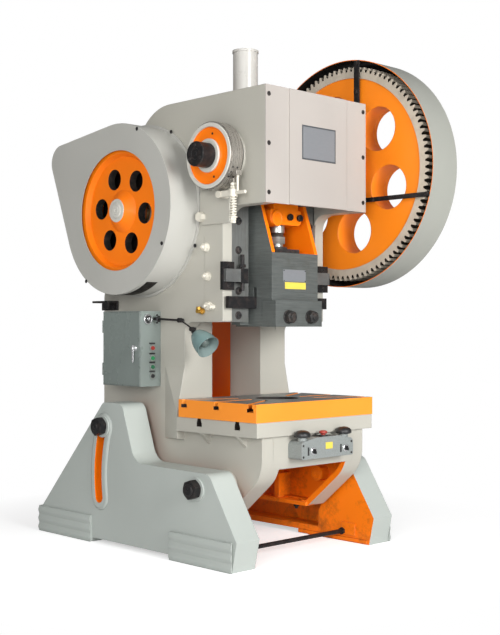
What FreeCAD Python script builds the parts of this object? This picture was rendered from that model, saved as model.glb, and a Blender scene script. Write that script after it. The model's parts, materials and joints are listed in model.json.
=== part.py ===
"""Open-back inclinable mechanical stamping press, 1000 kN class, in millimetres.

The origin lies on the floor, midway between the four anchor bolt holes of the legs.
X points to the bull gear, Y to the back of the press and Z up.  Depths in the sheet
are counted backwards from the front face of the bolster, which is also the front of
the head.  The crank is at top dead centre and the frame stands upright.
"""
import FreeCAD, Part
import math
import os
import Sketcher
from FreeCAD import Placement, Rotation, Vector

doc = FreeCAD.newDocument("StampingPress")
sheet = doc.addObject("Spreadsheet::Sheet", "Sizes")

DRIVING_SIZES = [
    # places of the main axes and planes
    ("front_setback", 850, "front of the bolster in front of the origin"),
    ("crank_depth", 300, "crank and slide centre line behind the front"),
    ("crank_height", 2100, "crank axis above the floor"),
    ("pivot_depth", 283, "tilting axis behind the front"),
    ("pivot_height", 388, "tilting axis above the floor"),
    ("frame_half", 389, "press centre to the outside of a cheek"),
    ("cheek_plate", 80, "thickness of a cheek"),
    ("throat_depth", 320, "slide centre line to the column"),
    # bed and bolster
    ("bolster_width", 900, "bolster, left to right"),
    ("bolster_deep", 600, "bolster, front to back"),
    ("bolster_plate", 95, "bolster thickness"),
    ("bed_height", 730, "top of the bed above the floor"),
    ("bed_plate", 77, "bed thickness"),
    ("bed_side_step", 5, "bed set in from the bolster on each side"),
    ("tslot_neck", 24, "width of a T-slot at the top"),
    ("tslot_foot", 40, "width of a T-slot at the bottom"),
    ("tslot_neck_deep", 24, "depth of the neck of a T-slot"),
    ("tslot_deep", 43, "whole depth of a T-slot"),
    ("tslot_pitch", 255, "from one bolster T-slot to the next"),
    ("tslot_reach", 270, "how far the T-slots reach in from the edge"),
    ("bed_tslot_front", 145, "front T-slot of the bed behind the front"),
    ("bed_tslot_rear", 438, "rear T-slot of the bed behind the front"),
    ("blank_hole", 120, "radius of the hole in bolster and bed"),
    # C-frame
    ("panel_depth", 21, "front panel behind the front"),
    ("panel_plate", 45, "thickness of the front panel"),
    ("panel_low", "=bed_height - 250", "lower edge of the front panel"),
    ("panel_turn", "=bed_height - 279", "height where the front edge turns back"),
    ("panel_round", 200, "rounding of that turn"),
    ("toe_flange", 30, "thickness of the flange along the lower front edge"),
    ("toe_flange_inner", 258, "press centre to the inner edge of that flange"),
    ("lower_wall", 25, "thickness of a cheek beside the pivot"),
    ("sole_height", 205, "underside of the frame above the floor"),
    ("sole_start", 313, "front end of the underside"),
    ("sole_end", 700, "rear end of the level underside"),
    ("rear_low_depth", 1180, "depth where the sloping underside turns up"),
    ("rear_low_height", 400, "height where the sloping underside turns up"),
    ("rear_depth", 1346, "rear edge of the column"),
    ("rear_low", 520, "lowest point of the rear edge"),
    ("rear_high", "=crank_height - 700", "highest point of the rear edge"),
    ("rear_waist_depth", 1100, "rear edge beside the drive shaft"),
    ("rear_waist_height", "=crank_height - 100", "height of that point"),
    ("head_rear", 981, "rear of the head"),
    ("head_low", "=crank_height - 255", "underside of the head"),
    ("head_high", "=crank_height + 344", "top of the head"),
    ("head_round", 300, "rounding of the rear top corner of the head"),
    ("head_fillet", 85, "fillet from the head to the gib plane"),
    ("throat_high", "=crank_height - 860", "underside of the way blocks"),
    ("throat_fillet", 60, "fillet at the top of the throat"),
    ("gib_depth", 315, "front of the gibs behind the front"),
    ("pillar_inner", 188, "press centre to the inside of a pillar"),
    ("pillar_rear", 875, "rear of a pillar"),
    ("way_inner", 240, "press centre to the side of a way block"),
    ("way_rear", 700, "rear of a way block"),
    ("way_high", "=crank_height - 200", "top of gibs and way blocks"),
    ("back_wall_depth", 560, "front of the head's back wall"),
    ("wall_plate", 40, "thickness of the inner walls"),
    ("back_wall_low", "=crank_height - 800", "lower edge of the head's back wall"),
    ("roof_plate", 25, "thickness of the head's roof"),
    ("cross_wall_depth", 640, "wall under the bed that joins the cheeks"),
    ("cross_wall_low", 300, "lower edge of that wall"),
    ("flare_top", 1000, "height where the column starts to flare"),
    ("flare_low", 600, "lower end of the flare"),
    ("flare_rear", 785, "rear end of the flare"),
    ("flare_out", 56, "how far the flare stands out at the bed"),
    ("bracket_rib", 25, "thickness of a rib under the bed"),
    ("bracket_rib_high", 60, "height of a rib under the bed"),
    ("inner_ledge", 22, "thickness of the ledge along the underside"),
    ("inner_ledge_wide", 60, "width of that ledge"),
    ("lug_front", 550, "front of the lug behind the pivot"),
    ("lug_plate", 37, "thickness of that lug"),
    ("lug_inner", 269, "press centre to the inner edge of that lug"),
    ("lug_high", 365, "top of that lug"),
    ("pivot_boss", 80, "radius of the frame's pivot boss"),
    ("crank_boss", 158, "radius of a crank bearing boss"),
    ("shaft_boss", 105, "radius of a drive shaft bearing boss"),
    ("boss_proud", 12, "how far the upper bosses stand out"),
    ("cover_plate", 5, "thickness of the sheet covers"),
    ("cover_fold", 221, "press centre to a fold of the front cover"),
    ("cover_step", 7, "how far the middle of the front cover stands out"),
    # legs
    ("leg_outer", 601, "press centre to the outside of a leg"),
    ("leg_wide", 158, "width of a leg"),
    ("leg_web", 40, "thickness of the outer wall of a leg"),
    ("leg_rim", 45, "thickness of the rim of a leg"),
    ("foot_high", 150, "height of the feet"),
    ("foot_front", 18, "front end of the front foot"),
    ("foot_front_end", 485, "rear end of the front foot"),
    ("foot_rear_start", 1180, "front end of the rear foot"),
    ("foot_rear", 1705, "rear end of the rear foot"),
    ("foot_proud", 12, "how far a foot stands out sideways"),
    ("foot_gap_high", 25, "height of the gap between the feet"),
    ("leg_peak", 793, "top of a leg"),
    ("leg_shoulder", 478, "shoulder of a leg over the pivot"),
    ("leg_clear", 0.3, "gap between a leg and the frame's bosses"),
    ("anchor_hole", 14, "radius of an anchor bolt hole"),
    ("anchor_front", 430, "front anchor holes behind the front"),
    ("anchor_pitch", 840, "from a front to a rear anchor hole"),
    ("pocket_front", 400, "front end of a leg's pocket"),
    ("pocket_floor", 58, "floor of a leg's pocket"),
    ("tie_depth", 210, "front tie rod behind the front"),
    ("tie_rear_depth", 1450, "rear tie rod behind the front"),
    ("tie_height", 57, "tie rods above the floor"),
    ("tie_radius", 12, "radius of a tie rod"),
    ("tie_seat", 60, "how deep a tie rod goes into a leg"),
    # pivot and tilt lock
    ("pivot_bolt", 30, "radius of a pivot bolt"),
    ("pivot_fit", 0.05, "radial play of a pivot bolt in the frame"),
    ("bolt_flats", 93, "width across flats of the large nuts"),
    ("bolt_nut", 48, "height of the large nuts"),
    ("bolt_washer", 62, "radius of the washers under the large nuts"),
    ("washer_plate", 9, "thickness of those washers"),
    ("lock_radius", 826, "pivot to the tilt lock bolts"),
    ("lock_angle", 19.2, "tilt lock bolts above the level of the pivot, degrees"),
    ("lock_travel", 28, "angle of the arc slot, degrees"),
    ("lock_bolt", 24, "radius of a tilt lock bolt"),
    ("slot_half", 33, "half width of the arc slot"),
    ("slot_rim", 28, "width of the raised rim round the slot"),
    ("slot_rim_high", 8, "height of that rim"),
    # slide and gibs
    ("slide_half", 177.5, "half width of the slide"),
    ("slide_front", 161, "front of the slide behind the front"),
    ("slide_rear", 440, "rear of the slide"),
    ("slide_low", "=crank_height - 885", "underside of the slide"),
    ("slide_block_high", "=crank_height - 490", "top of the slide's solid lower block"),
    ("slide_high", "=crank_height - 220", "top of the slide's side walls"),
    ("slide_wall", 24, "thickness of the slide's side walls"),
    ("slide_lean", 90, "how far the front edges of the walls lean back"),
    ("guide_deep", 65, "guides of the slide, front to back"),
    ("guide_play", 0.1, "running gap between guides and ways"),
    ("gib_plate", 25, "thickness of a gib"),
    ("gib_inner", 202, "press centre to the inner edge of a gib"),
    ("gib_outer", 323, "press centre to the outer edge of a gib"),
    ("shank_radius", 30, "radius of the shank hole"),
    ("shank_deep", 80, "depth of the shank hole"),
    ("clamp_front", 131, "front of the shank clamp"),
    ("clamp_high", "=crank_height - 745", "top of the shank clamp"),
    ("clamp_split", 232, "joint between shank clamp and slide"),
    ("knock_slot_low", "=crank_height - 787", "lower end of the knock-out slot"),
    ("knock_slot_high", "=crank_height - 675", "upper end of the knock-out slot"),
    ("knock_bar_high", 62, "height of the knock-out bar"),
    ("knock_bar_thick", 24, "thickness of the knock-out bar"),
    ("knock_bar_half", 380, "half length of the knock-out bar"),
    ("knock_depth", 290, "knock-out bar behind the front"),
    ("knock_play", 0.5, "play of the knock-out bar in its slot"),
    # crank train
    ("crank_throw", 70, "half the stroke"),
    ("journal", 72, "radius of the crankshaft in its bushes"),
    ("bush_wall", 14, "wall of the crank bushes"),
    ("journal_fit", 0.05, "radial play of the shafts in their bushes"),
    ("crank_pin", 88, "radius of the crank pin"),
    ("crank_web", 168, "radius of the crank webs"),
    ("pin_half", 112, "half the length of the crank pin"),
    ("web_plate", 74, "thickness of a crank web"),
    ("shaft_left", 508, "press centre to the face of the brake drum"),
    ("shaft_end", 592, "press centre to the left end of the crankshaft"),
    ("shaft_right", 760, "press centre to the right end of the crankshaft"),
    ("shaft_end_radius", 64, "radius of the shaft beyond the bushes"),
    ("drum_radius", 171, "radius of the brake drum"),
    ("drum_wide", 92, "width of the brake drum"),
    ("drum_dish", 146, "radius of the orange face of the brake drum"),
    ("drum_hub", 94, "radius of the hub of the brake drum"),
    ("rod_eye", 132, "outer radius of the connecting rod's eye"),
    ("rod_eye_half", 108, "half width of the eye"),
    ("rod_foot_half", 119, "half width of the rod's lower end"),
    ("rod_half_deep", 70, "half depth of the connecting rod"),
    ("rod_foot_low", "=crank_height - 333", "lower end of the connecting rod"),
    ("rod_foot_high", "=crank_height - 250", "top of the rod's wide lower end"),
    ("ball_screw", 42, "radius of the ball screw"),
    ("ball_height", "=crank_height - 560", "centre of the ball"),
    ("ball_radius", 56, "radius of the ball"),
    ("ball_room", 72, "room behind the ball for the swing of the rod"),
    # gear train
    ("gear_module", 12, "module of bull gear and pinion"),
    ("gear_teeth", 101, "teeth of the bull gear"),
    ("pinion_teeth", 17, "teeth of the pinion"),
    ("gear_inner", 550, "press centre to the left face of the bull gear"),
    ("gear_wide", 130, "face width of the bull gear"),
    ("gear_rim", 554, "inner radius of the bare rim of the gear"),
    ("gear_web_step", 6, "how far the painted web lies below the rim"),
    ("gear_hole", 125, "radius of a hole in the bull gear"),
    ("gear_hole_circle", 345, "radius of the circle of those holes"),
    ("gear_hole_start", 17, "angle of the first of those holes, degrees"),
    ("gear_hub", 150, "radius of the hub of the bull gear"),
    ("gear_hub_out", 40, "how far the hub stands out"),
    ("drive_drop", 20, "drive shaft below the crank, seen from it, degrees"),
    ("guard_radius", 656, "outer radius of the gear guard"),
    ("guard_inner", 535, "press centre to the left edge of the gear guard"),
    ("guard_outer", 751, "press centre to the right edge of the gear guard"),
    ("guard_sheet", 4, "thickness of the guards"),
    ("guard_bar_wide", 38, "width of a guard bar"),
    ("guard_bar_thick", 8, "thickness of a guard bar"),
    # flywheel and motor
    ("flywheel_radius", 432, "radius of the flywheel"),
    ("flywheel_face", 572, "press centre to the face of the flywheel"),
    ("flywheel_wide", 148, "width of the flywheel's rim"),
    ("flywheel_dish", 318, "inner radius of the flywheel's rim"),
    ("flywheel_web", 46, "thickness of the flywheel's web"),
    ("flywheel_sink", 26, "depth of the web behind the rim's face"),
    ("flywheel_hole", 58, "radius of a hole in the flywheel"),
    ("flywheel_hole_circle", 196, "radius of the circle of those holes"),
    ("flywheel_hub", 66, "radius of the hub's face"),
    ("flywheel_hub_root", 118, "radius of the hub's root"),
    ("hub_face", 588, "press centre to the face of the flywheel's hub"),
    ("drive_shaft", 48, "radius of the drive shaft"),
    ("motor_depth", 1497, "motor axis behind the front"),
    ("motor_height", "=crank_height + 80", "motor axis above the floor"),
    ("motor_radius", 150, "radius of the motor"),
    ("pulley_radius", 78, "radius of the motor pulley"),
    ("belt_count", 4, "number of V-belts"),
    ("belt_wide", 22, "width of a V-belt"),
    ("belt_high", 14, "height of a V-belt"),
    ("belt_pitch", 30, "from one V-belt to the next"),
    ("belt_play", 0.4, "gap between a belt and its wheels"),
    ("case_face", 590, "press centre to the face of the flywheel guard"),
    ("case_inner", 395, "press centre to the inner edge of the flywheel guard"),
    ("case_radius", 474, "radius of the flywheel guard"),
    ("case_shift", 9, "guard's circle behind and above the flywheel's axis"),
    ("case_corner", 100, "radius of the guard round the motor pulley"),
    ("case_window", 333, "radius of the window in the flywheel guard"),
    # tube on top
    ("tube_depth", 549, "top tube behind the front"),
    ("tube_radius", 70, "radius of the top tube"),
    ("tube_top", "=crank_height + 669", "top of the tube"),
    # electric cabinet
    ("cabinet_front", 825, "front of the cabinet behind the front"),
    ("cabinet_deep", 335, "cabinet, front to back"),
    ("cabinet_wide", 146, "cabinet, left to right"),
    ("cabinet_low", 885, "underside of the cabinet"),
    ("cabinet_high", "=crank_height - 799", "top of the cabinet"),
    ("cabinet_sheet", 2, "sheet of the cabinet"),
    ("door_play", 1, "gap round the cabinet door"),
    ("button_radius", 11, "radius of a button's rim"),
    ("button_stroke", 4, "travel of a button"),
    # two-hand control box
    ("panel_box_half", 200, "half width of the control box"),
    ("panel_box_front", 96, "front of the control box before the front panel"),
    ("panel_box_low", "=bed_height - 198", "underside of the control box"),
    ("panel_box_high", "=bed_height - 106", "top of the control box at its ends"),
    ("panel_box_crown", 18, "how much higher its middle is"),
    ("palm_reach", 160, "press centre to a palm button"),
    ("palm_radius", 43, "radius of a palm button"),
    ("palm_stroke", 6, "travel of a palm button"),
    # lamp
    ("lamp_root_depth", "=cabinet_front - 8", "foot of the lamp arm behind the front"),
    ("lamp_root_height", "=cabinet_high - 43", "shoulder joint of the lamp"),
    ("lamp_shade", 62, "radius of the lamp shade"),
]

for row, (alias, value, note) in enumerate(DRIVING_SIZES, start=1):
    sheet.set(f"A{row}", note)
    sheet.set(f"B{row}", str(value))
    sheet.setAlias(f"B{row}", alias)
doc.recompute()


class Size:
    """A length that keeps its number and the sheet formula that gives it."""

    def __init__(self, number, formula):
        self.number = float(number)
        self.formula = formula

    def joined(self, sign, other, number, swap=False):
        right = other.formula if isinstance(other, Size) else repr(float(other))
        left = self.formula
        if swap:
            left, right = right, left
        return Size(number, f"({left} {sign} {right})")

    def __float__(self):
        return self.number

    def __neg__(self):
        return Size(-self.number, f"(-1 * {self.formula})")

    def __add__(self, other):
        return self.joined("+", other, self.number + float(other))

    def __radd__(self, other):
        return self.joined("+", other, float(other) + self.number, swap=True)

    def __sub__(self, other):
        return self.joined("-", other, self.number - float(other))

    def __rsub__(self, other):
        return self.joined("-", other, float(other) - self.number, swap=True)

    def __mul__(self, other):
        return self.joined("*", other, self.number * float(other))

    def __rmul__(self, other):
        return self.joined("*", other, float(other) * self.number, swap=True)

    def __truediv__(self, other):
        return self.joined("/", other, self.number / float(other))


class Sheet:
    """Gives each alias of the sheet as a Size."""

    def __getattr__(self, alias):
        return Size(sheet.get(alias), f"Sizes.{alias}")


d = Sheet()
made = {"count": 0}
PIECES = {}


def fresh(kind, word):
    """Adds an object of one kind under a name of its own."""
    made["count"] += 1
    return doc.addObject(kind, f"{word}{made['count']}")


def bind(feature, property_name, size):
    """Ties a property to the sheet, or sets it where it is a plain number."""
    if isinstance(size, Size):
        feature.setExpression(property_name, size.formula)
    else:
        feature.setExpression(property_name, repr(float(size)))


def set_down(feature, x, y, z, turn=None):
    if turn is not None:
        feature.Placement = Placement(Vector(), turn)
    for letter, value in zip("xyz", (x, y, z)):
        bind(feature, f"Placement.Base.{letter}", value)
    return feature


def block(x, y, z):
    """A box given by its lower and upper place along each axis."""
    feature = fresh("Part::Box", "Block")
    for name, (low, high) in zip(("Length", "Width", "Height"), (x, y, z)):
        bind(feature, name, high - low)
    return set_down(feature, x[0], y[0], z[0])


TURN = {
    "x": Rotation(Vector(0, 1, 0), 90),
    "y": Rotation(Vector(1, 0, 0), -90),
    "z": Rotation(),
}


def along(axis, start, centre):
    """Puts a start on an axis and a centre across it in X, Y, Z order."""
    first, second = centre
    return {
        "x": (start, first, second),
        "y": (first, start, second),
        "z": (first, second, start),
    }[axis]


def rod(axis, span, centre, radius):
    """A round bar along an axis, from span[0] to span[1]."""
    feature = fresh("Part::Cylinder", "Rod")
    bind(feature, "Radius", radius)
    bind(feature, "Height", span[1] - span[0])
    return set_down(feature, *along(axis, span[0], centre), TURN[axis])


def cone(axis, span, centre, radii):
    feature = fresh("Part::Cone", "Cone")
    bind(feature, "Radius1", radii[0])
    bind(feature, "Radius2", radii[1])
    bind(feature, "Height", span[1] - span[0])
    return set_down(feature, *along(axis, span[0], centre), TURN[axis])


def ball(centre, radius):
    feature = fresh("Part::Sphere", "Ball")
    bind(feature, "Radius", radius)
    return set_down(feature, *centre)


def hexagon(axis, span, centre, flats):
    """A six-sided bar along an axis, given by its width across flats."""
    feature = fresh("Part::Prism", "Hexagon")
    feature.Polygon = 6
    bind(feature, "Circumradius", flats / 2 / math.cos(math.radians(30)))
    bind(feature, "Height", span[1] - span[0])
    return set_down(feature, *along(axis, span[0], centre), TURN[axis])


def fused(*features):
    feature = fresh("Part::MultiFuse", "Fused")
    feature.Shapes = list(features)
    return feature


def cut(base, *tools):
    feature = fresh("Part::Cut", "Cut")
    feature.Base = base
    feature.Tool = tools[0] if len(tools) == 1 else fused(*tools)
    return feature


def shared(*features):
    feature = fresh("Part::MultiCommon", "Shared")
    feature.Shapes = list(features)
    return feature


def mirrored(source):
    """The same piece on the other side of the press."""
    feature = fresh("Part::Mirroring", "Mirrored")
    feature.Source = source
    feature.Normal = Vector(1, 0, 0)
    return feature


def several(*features):
    """Separate solids that share one node."""
    feature = fresh("Part::Compound", "Several")
    feature.Links = list(features)
    return feature


def ring(axis, span, centre, outer, inner):
    return cut(rod(axis, span, centre, outer), rod(axis, span, centre, inner))


def corner_arcs(corners):
    """Lines and arcs of an outline; a corner is (u, v) or (u, v, radius)."""
    count = len(corners)
    starts, ends, arcs = [], [], []
    for index, corner in enumerate(corners):
        here = Vector(float(corner[0]), float(corner[1]), 0)
        if len(corner) == 2:
            starts.append(here)
            ends.append(here)
            arcs.append(None)
            continue
        before = corners[index - 1]
        after = corners[(index + 1) % count]
        back = (Vector(float(before[0]), float(before[1]), 0) - here).normalize()
        ahead = (Vector(float(after[0]), float(after[1]), 0) - here).normalize()
        half = back.getAngle(ahead) / 2
        radius = float(corner[2])
        tangent = radius / math.tan(half)
        middle = here + (back + ahead).normalize() * (radius / math.sin(half))
        top = middle + (here - middle).normalize() * radius
        starts.append(here + back * tangent)
        ends.append(here + ahead * tangent)
        arcs.append(Part.Arc(here + back * tangent, top, here + ahead * tangent))
    edges = []
    for index in range(count):
        if arcs[index]:
            edges.append(arcs[index])
        following = starts[(index + 1) % count]
        if (ends[index] - following).Length > 0.001:
            edges.append(Part.LineSegment(ends[index], following))
    return edges


PLANES = {"x": "YZ_Plane", "y": "XZ_Plane", "z": "XY_Plane"}


def body_with_sketch(axis, offset):
    body = fresh("PartDesign::Body", "Body")
    sketch = body.newObject("Sketcher::SketchObject", f"{body.Name}Sketch")
    plane = [item for item in body.Origin.OriginFeatures if item.Role == PLANES[axis]][0]
    sketch.AttachmentSupport = [(plane, "")]
    sketch.MapMode = "FlatFace"
    bind(sketch, "AttachmentOffset.Base.z", offset)
    return body, sketch


def draw(sketch, corners):
    """Draws one closed outline and ties its corners where it has no arcs."""
    first = sketch.GeometryCount
    edges = corner_arcs(corners)
    for edge in edges:
        sketch.addGeometry(edge, False)
    if any(len(corner) == 3 for corner in corners) or len(edges) != len(corners):
        return
    count = len(corners)
    for index in range(count):
        following = first + (index + 1) % count
        sketch.addConstraint(Sketcher.Constraint("Coincident", first + index, 2, following, 1))
    for index, corner in enumerate(corners):
        for kind, value in zip(("DistanceX", "DistanceY"), corner):
            number = sketch.addConstraint(
                Sketcher.Constraint(kind, -1, 1, first + index, 1, float(value)))
            if isinstance(value, Size):
                bind(sketch, f"Constraints[{number}]", value)


def prism(axis, span, corners, holes=()):
    """A body padded along an axis from an outline with round holes.

    The outline is given as (Y, Z) for axis x, (X, Z) for axis y and (X, Y) for axis z.
    """
    offset = -span[1] if axis == "y" else span[0]
    body, sketch = body_with_sketch(axis, offset)
    draw(sketch, corners)
    for across, up, radius in holes:
        circle = Part.Circle(Vector(float(across), float(up), 0), Vector(0, 0, 1), float(radius))
        sketch.addGeometry(circle, False)
    pad = body.newObject("PartDesign::Pad", f"{body.Name}Pad")
    pad.Profile = sketch
    bind(pad, "Length", span[1] - span[0])
    return body


def turned(place, profile):
    """A body turned about an axis along X, from (radius, X) corners.

    place is the (Y, Z) of the axis.
    """
    body, sketch = body_with_sketch("z", place[1])
    bind(sketch, "AttachmentOffset.Base.y", place[0])
    draw(sketch, [(along_x, radius) for radius, along_x in profile])
    spin = body.newObject("PartDesign::Revolution", f"{body.Name}Turned")
    spin.Profile = sketch
    spin.ReferenceAxis = (sketch, ["H_Axis"])
    spin.Angle = 360
    return body


def piece(name, feature):
    """Names a finished piece, which is written to a file of that name."""
    feature.Label = name
    PIECES[name] = feature
    return feature


def at(depth):
    """A depth behind the bolster's front as a place along Y."""
    return depth - d.front_setback


def side(*corners):
    """Outline corners given as (depth, height) or (depth, height, radius)."""
    return [(at(corner[0]),) + tuple(corner[1:]) for corner in corners]


def sine(angle):
    return Size(math.sin(math.radians(float(angle))), f"sin({angle.formula})")


def cosine(angle):
    return Size(math.cos(math.radians(float(angle))), f"cos({angle.formula})")


def bar(start, end, radius):
    """A round bar between two points given by plain numbers or sizes."""
    tail = Vector(*[float(value) for value in start])
    head = Vector(*[float(value) for value in end])
    feature = fresh("Part::Cylinder", "Bar")
    bind(feature, "Radius", radius)
    feature.Height = (head - tail).Length
    feature.Placement = Placement(tail, Rotation(Vector(0, 0, 1), head - tail))
    return feature


def hull(span, first, first_radius, second, second_radius):
    """Two round bars along X with a block drawn tight round both."""
    one = Vector(float(first[0]), float(first[1]), 0)
    two = Vector(float(second[0]), float(second[1]), 0)
    apart = (two - one).Length
    lean = math.acos((float(first_radius) - float(second_radius)) / apart)
    heading = math.atan2(two.y - one.y, two.x - one.x)
    corners = []
    for middle, radius, turn in ((one, first_radius, 1), (two, second_radius, 1),
                                 (two, second_radius, -1), (one, first_radius, -1)):
        angle = heading + turn * lean
        corners.append((middle.x + float(radius) * math.cos(angle),
                        middle.y + float(radius) * math.sin(angle)))
    return fused(rod("x", span, first, first_radius), rod("x", span, second, second_radius),
                 prism("x", span, corners))


# ---- places used by several pieces ----
crank = (at(d.crank_depth), d.crank_height)
gear_centres = d.gear_module * (d.gear_teeth + d.pinion_teeth) / 2
drive = (crank[0] + gear_centres * cosine(d.drive_drop),
         crank[1] - gear_centres * sine(d.drive_drop))
pivot = (at(d.pivot_depth), d.pivot_height)
lock = (pivot[0] + d.lock_radius * cosine(d.lock_angle),
        pivot[1] + d.lock_radius * sine(d.lock_angle))
motor_axis = (at(d.motor_depth), d.motor_height)
cheek_inner = d.frame_half - d.cheek_plate
leg_inner = d.leg_outer - d.leg_wide
boss_end = leg_inner - d.leg_clear
bolster_top = d.bed_height + d.bolster_plate
bed_half = d.bolster_width / 2 - d.bed_side_step
bed_under = d.bed_height - d.bed_plate
column_front = d.crank_depth + d.throat_depth
guide_front = d.gib_depth + d.gib_plate
guide_rear = guide_front + d.guide_deep
anchor_rear = d.anchor_front + d.anchor_pitch
boss_face = d.frame_half + d.boss_proud

# ---- bolster: plate with a blanking hole and six T-slots that point to the hole ----
bolster = block((-d.bolster_width / 2, d.bolster_width / 2), (at(0), at(d.bolster_deep)),
                (d.bed_height, bolster_top))
slots = [rod("z", (d.bed_height - 1, bolster_top + 1), (0, crank[0]), d.blank_hole)]
slot_floor = bolster_top - d.tslot_deep
neck_floor = bolster_top - d.tslot_neck_deep
edge = d.bolster_width / 2 + 2
inner_end = d.bolster_width / 2 - d.tslot_reach
for half, low, high in ((d.tslot_neck / 2, neck_floor - 1, bolster_top + 1),
                        (d.tslot_foot / 2, slot_floor, neck_floor)):
    for right in (1, -1):
        ends = (inner_end, edge) if right == 1 else (-edge, -inner_end)
        slots.append(block(ends, (crank[0] - half, crank[0] + half), (low, high)))
        for back in (1, -1):
            far = crank[0] + back * d.tslot_pitch * edge / (d.bolster_width / 2)
            near = crank[0] + back * d.tslot_pitch * inner_end / (d.bolster_width / 2)
            slots.append(prism("z", (low, high), [
                (right * edge, far - half * 1.15),
                (right * edge, far + half * 1.15),
                (right * inner_end, near + half * 1.15),
                (right * inner_end, near - half * 1.15)]))
piece("bolster", cut(bolster, *slots))

# ---- press frame: a weldment of two cheeks, bed, front panel, walls and roof ----
cheek = prism("x", (cheek_inner, d.frame_half), side(
    (d.panel_depth, d.panel_turn, d.panel_round),
    (d.panel_depth, bed_under),
    (1, bed_under),
    (1, d.bed_height),
    (column_front, d.bed_height),
    (column_front, d.throat_high, d.throat_fillet),
    (d.gib_depth, d.throat_high, 12),
    (d.gib_depth, d.head_low, d.head_fillet),
    (0, d.head_low),
    (0, d.head_high),
    (d.head_rear, d.head_high, d.head_round),
    (d.rear_waist_depth, d.rear_waist_height, 120),
    (d.rear_depth, d.rear_high, 80),
    (d.rear_depth, d.rear_low, 30),
    (d.rear_low_depth, d.rear_low_height, 30),
    (d.sole_end, d.sole_height, 60),
    (d.sole_start, d.sole_height, 25)))
seat = cheek_inner + 5
pillar = block((d.pillar_inner, seat), (at(column_front), at(d.pillar_rear)),
               (bed_under, d.throat_high + 60))
way = block((d.way_inner, seat), (at(guide_front), at(d.way_rear)), (d.throat_high, d.way_high))
shoe = block((d.gib_inner, seat), (at(guide_rear), at(guide_rear + 70)),
             (d.throat_high, d.way_high))
gib_recess = block((d.gib_inner - 5, d.gib_outer), (at(d.gib_depth - 5), at(guide_front)),
                   (d.throat_high, d.way_high))
flare_plan = prism("z", (d.flare_low - 5, d.flare_top + 5), [
    (d.frame_half - 5, at(column_front)),
    (d.frame_half + d.flare_out, at(column_front)),
    (d.frame_half, at(d.flare_rear)),
    (d.frame_half - 5, at(d.flare_rear))])
flare_front = prism("y", (at(column_front), at(d.flare_rear)), [
    (d.frame_half - 5, d.flare_low),
    (d.frame_half + d.flare_out, d.flare_low + 10),
    (d.frame_half + d.flare_out, d.bed_height + 10),
    (d.frame_half, d.flare_top),
    (d.frame_half - 5, d.flare_top)])
flare = shared(flare_plan, flare_front)
ribs = []
for rib_depth in (d.bed_tslot_front, d.bed_tslot_rear - 18):
    ribs.append(prism("y", (at(rib_depth - d.bracket_rib / 2), at(rib_depth + d.bracket_rib / 2)), [
        (d.frame_half - 5, bed_under - d.bracket_rib_high),
        (d.frame_half, bed_under - d.bracket_rib_high),
        (bed_half, bed_under - 3),
        (bed_half, bed_under + 5),
        (d.frame_half - 5, bed_under + 5)]))
toe = prism("x", (d.toe_flange_inner, seat), side(
    (d.panel_depth, d.panel_low + 75),
    (d.panel_depth, d.panel_turn, d.panel_round),
    (d.sole_start, d.sole_height, 60),
    (d.sole_start + 47, d.sole_height),
    (d.sole_start + 47, d.panel_low + 75)))
toe_room = side(
    (d.panel_depth + d.toe_flange, d.panel_low + 80),
    (d.panel_depth + d.toe_flange, d.panel_turn + 15, d.panel_round - d.toe_flange),
    (d.sole_start + 12, d.sole_height + d.toe_flange, 40),
    (600, d.sole_height + d.toe_flange),
    (600, d.panel_low + 80))
toe = cut(toe, prism("x", (d.toe_flange_inner - 1, seat + 1), toe_room),
          block((0, seat + 1), (at(0), at(d.panel_depth + d.panel_plate)),
                (d.panel_low, d.panel_low + 100)))
cheek = cut(cheek, prism("x", (cheek_inner - 1, d.frame_half - d.lower_wall), toe_room))
lug = block((d.lug_inner, seat + 60), (at(d.lug_front), at(d.lug_front + d.lug_plate)),
            (d.sole_height, d.lug_high))
ledge = block((cheek_inner - d.inner_ledge_wide, seat), (at(d.sole_start + 5), at(d.sole_end)),
              (d.sole_height, d.sole_height + d.inner_ledge))
latch_pin = (at(d.crank_depth + 190), d.crank_height + 110)
half_frame = cut(
    fused(cheek, pillar, way, shoe, flare, toe, lug, ledge, *ribs,
          rod("x", (cheek_inner - 9, boss_end), pivot, d.pivot_boss * 0.52),
          rod("x", (d.frame_half - 5, boss_end), pivot, d.pivot_boss),
          rod("x", (d.frame_half - 5, boss_end), lock, d.pivot_boss),
          rod("x", (d.frame_half - 5, boss_face), crank, d.crank_boss),
          rod("x", (d.frame_half - 5, boss_face), drive, d.shaft_boss)),
    gib_recess)
table = block((-bed_half, bed_half), (at(1), at(column_front)), (bed_under, d.bed_height))
bed = fused(table, block((-d.pillar_inner, d.pillar_inner),
                         (at(column_front - 5), at(d.cross_wall_depth)),
                         (bed_under, d.bed_height)))
half_frame = cut(half_frame, table)
front_panel = shared(
    block((-seat, seat), (at(d.panel_depth), at(d.panel_depth + d.panel_plate)),
          (d.panel_low, bed_under)),
    prism("x", (-seat, seat), side(
        (d.panel_depth, bed_under + 10),
        (d.panel_depth, d.panel_turn, d.panel_round),
        (d.panel_depth + 179, d.panel_turn - 151),
        (d.panel_depth + 179, bed_under + 10))))
cross_wall = block((-seat, seat), (at(d.cross_wall_depth - 5), at(d.cross_wall_depth + d.wall_plate)),
                   (d.cross_wall_low, d.bed_height))
back_wall = block((-seat, seat), (at(d.back_wall_depth), at(d.back_wall_depth + d.wall_plate)),
                  (d.back_wall_low, d.head_high - 5))
roof = block((-seat, seat), (at(0), at(d.head_rear - d.head_round)),
             (d.head_high - d.roof_plate, d.head_high))
rear_wall = block((-seat, seat), (at(1030), at(1030 + d.wall_plate)), (d.crank_height - 600, d.crank_height - 40))
rear_tie = block((-seat, seat), (at(1270), at(1270 + d.wall_plate)), (540, 820))
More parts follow.
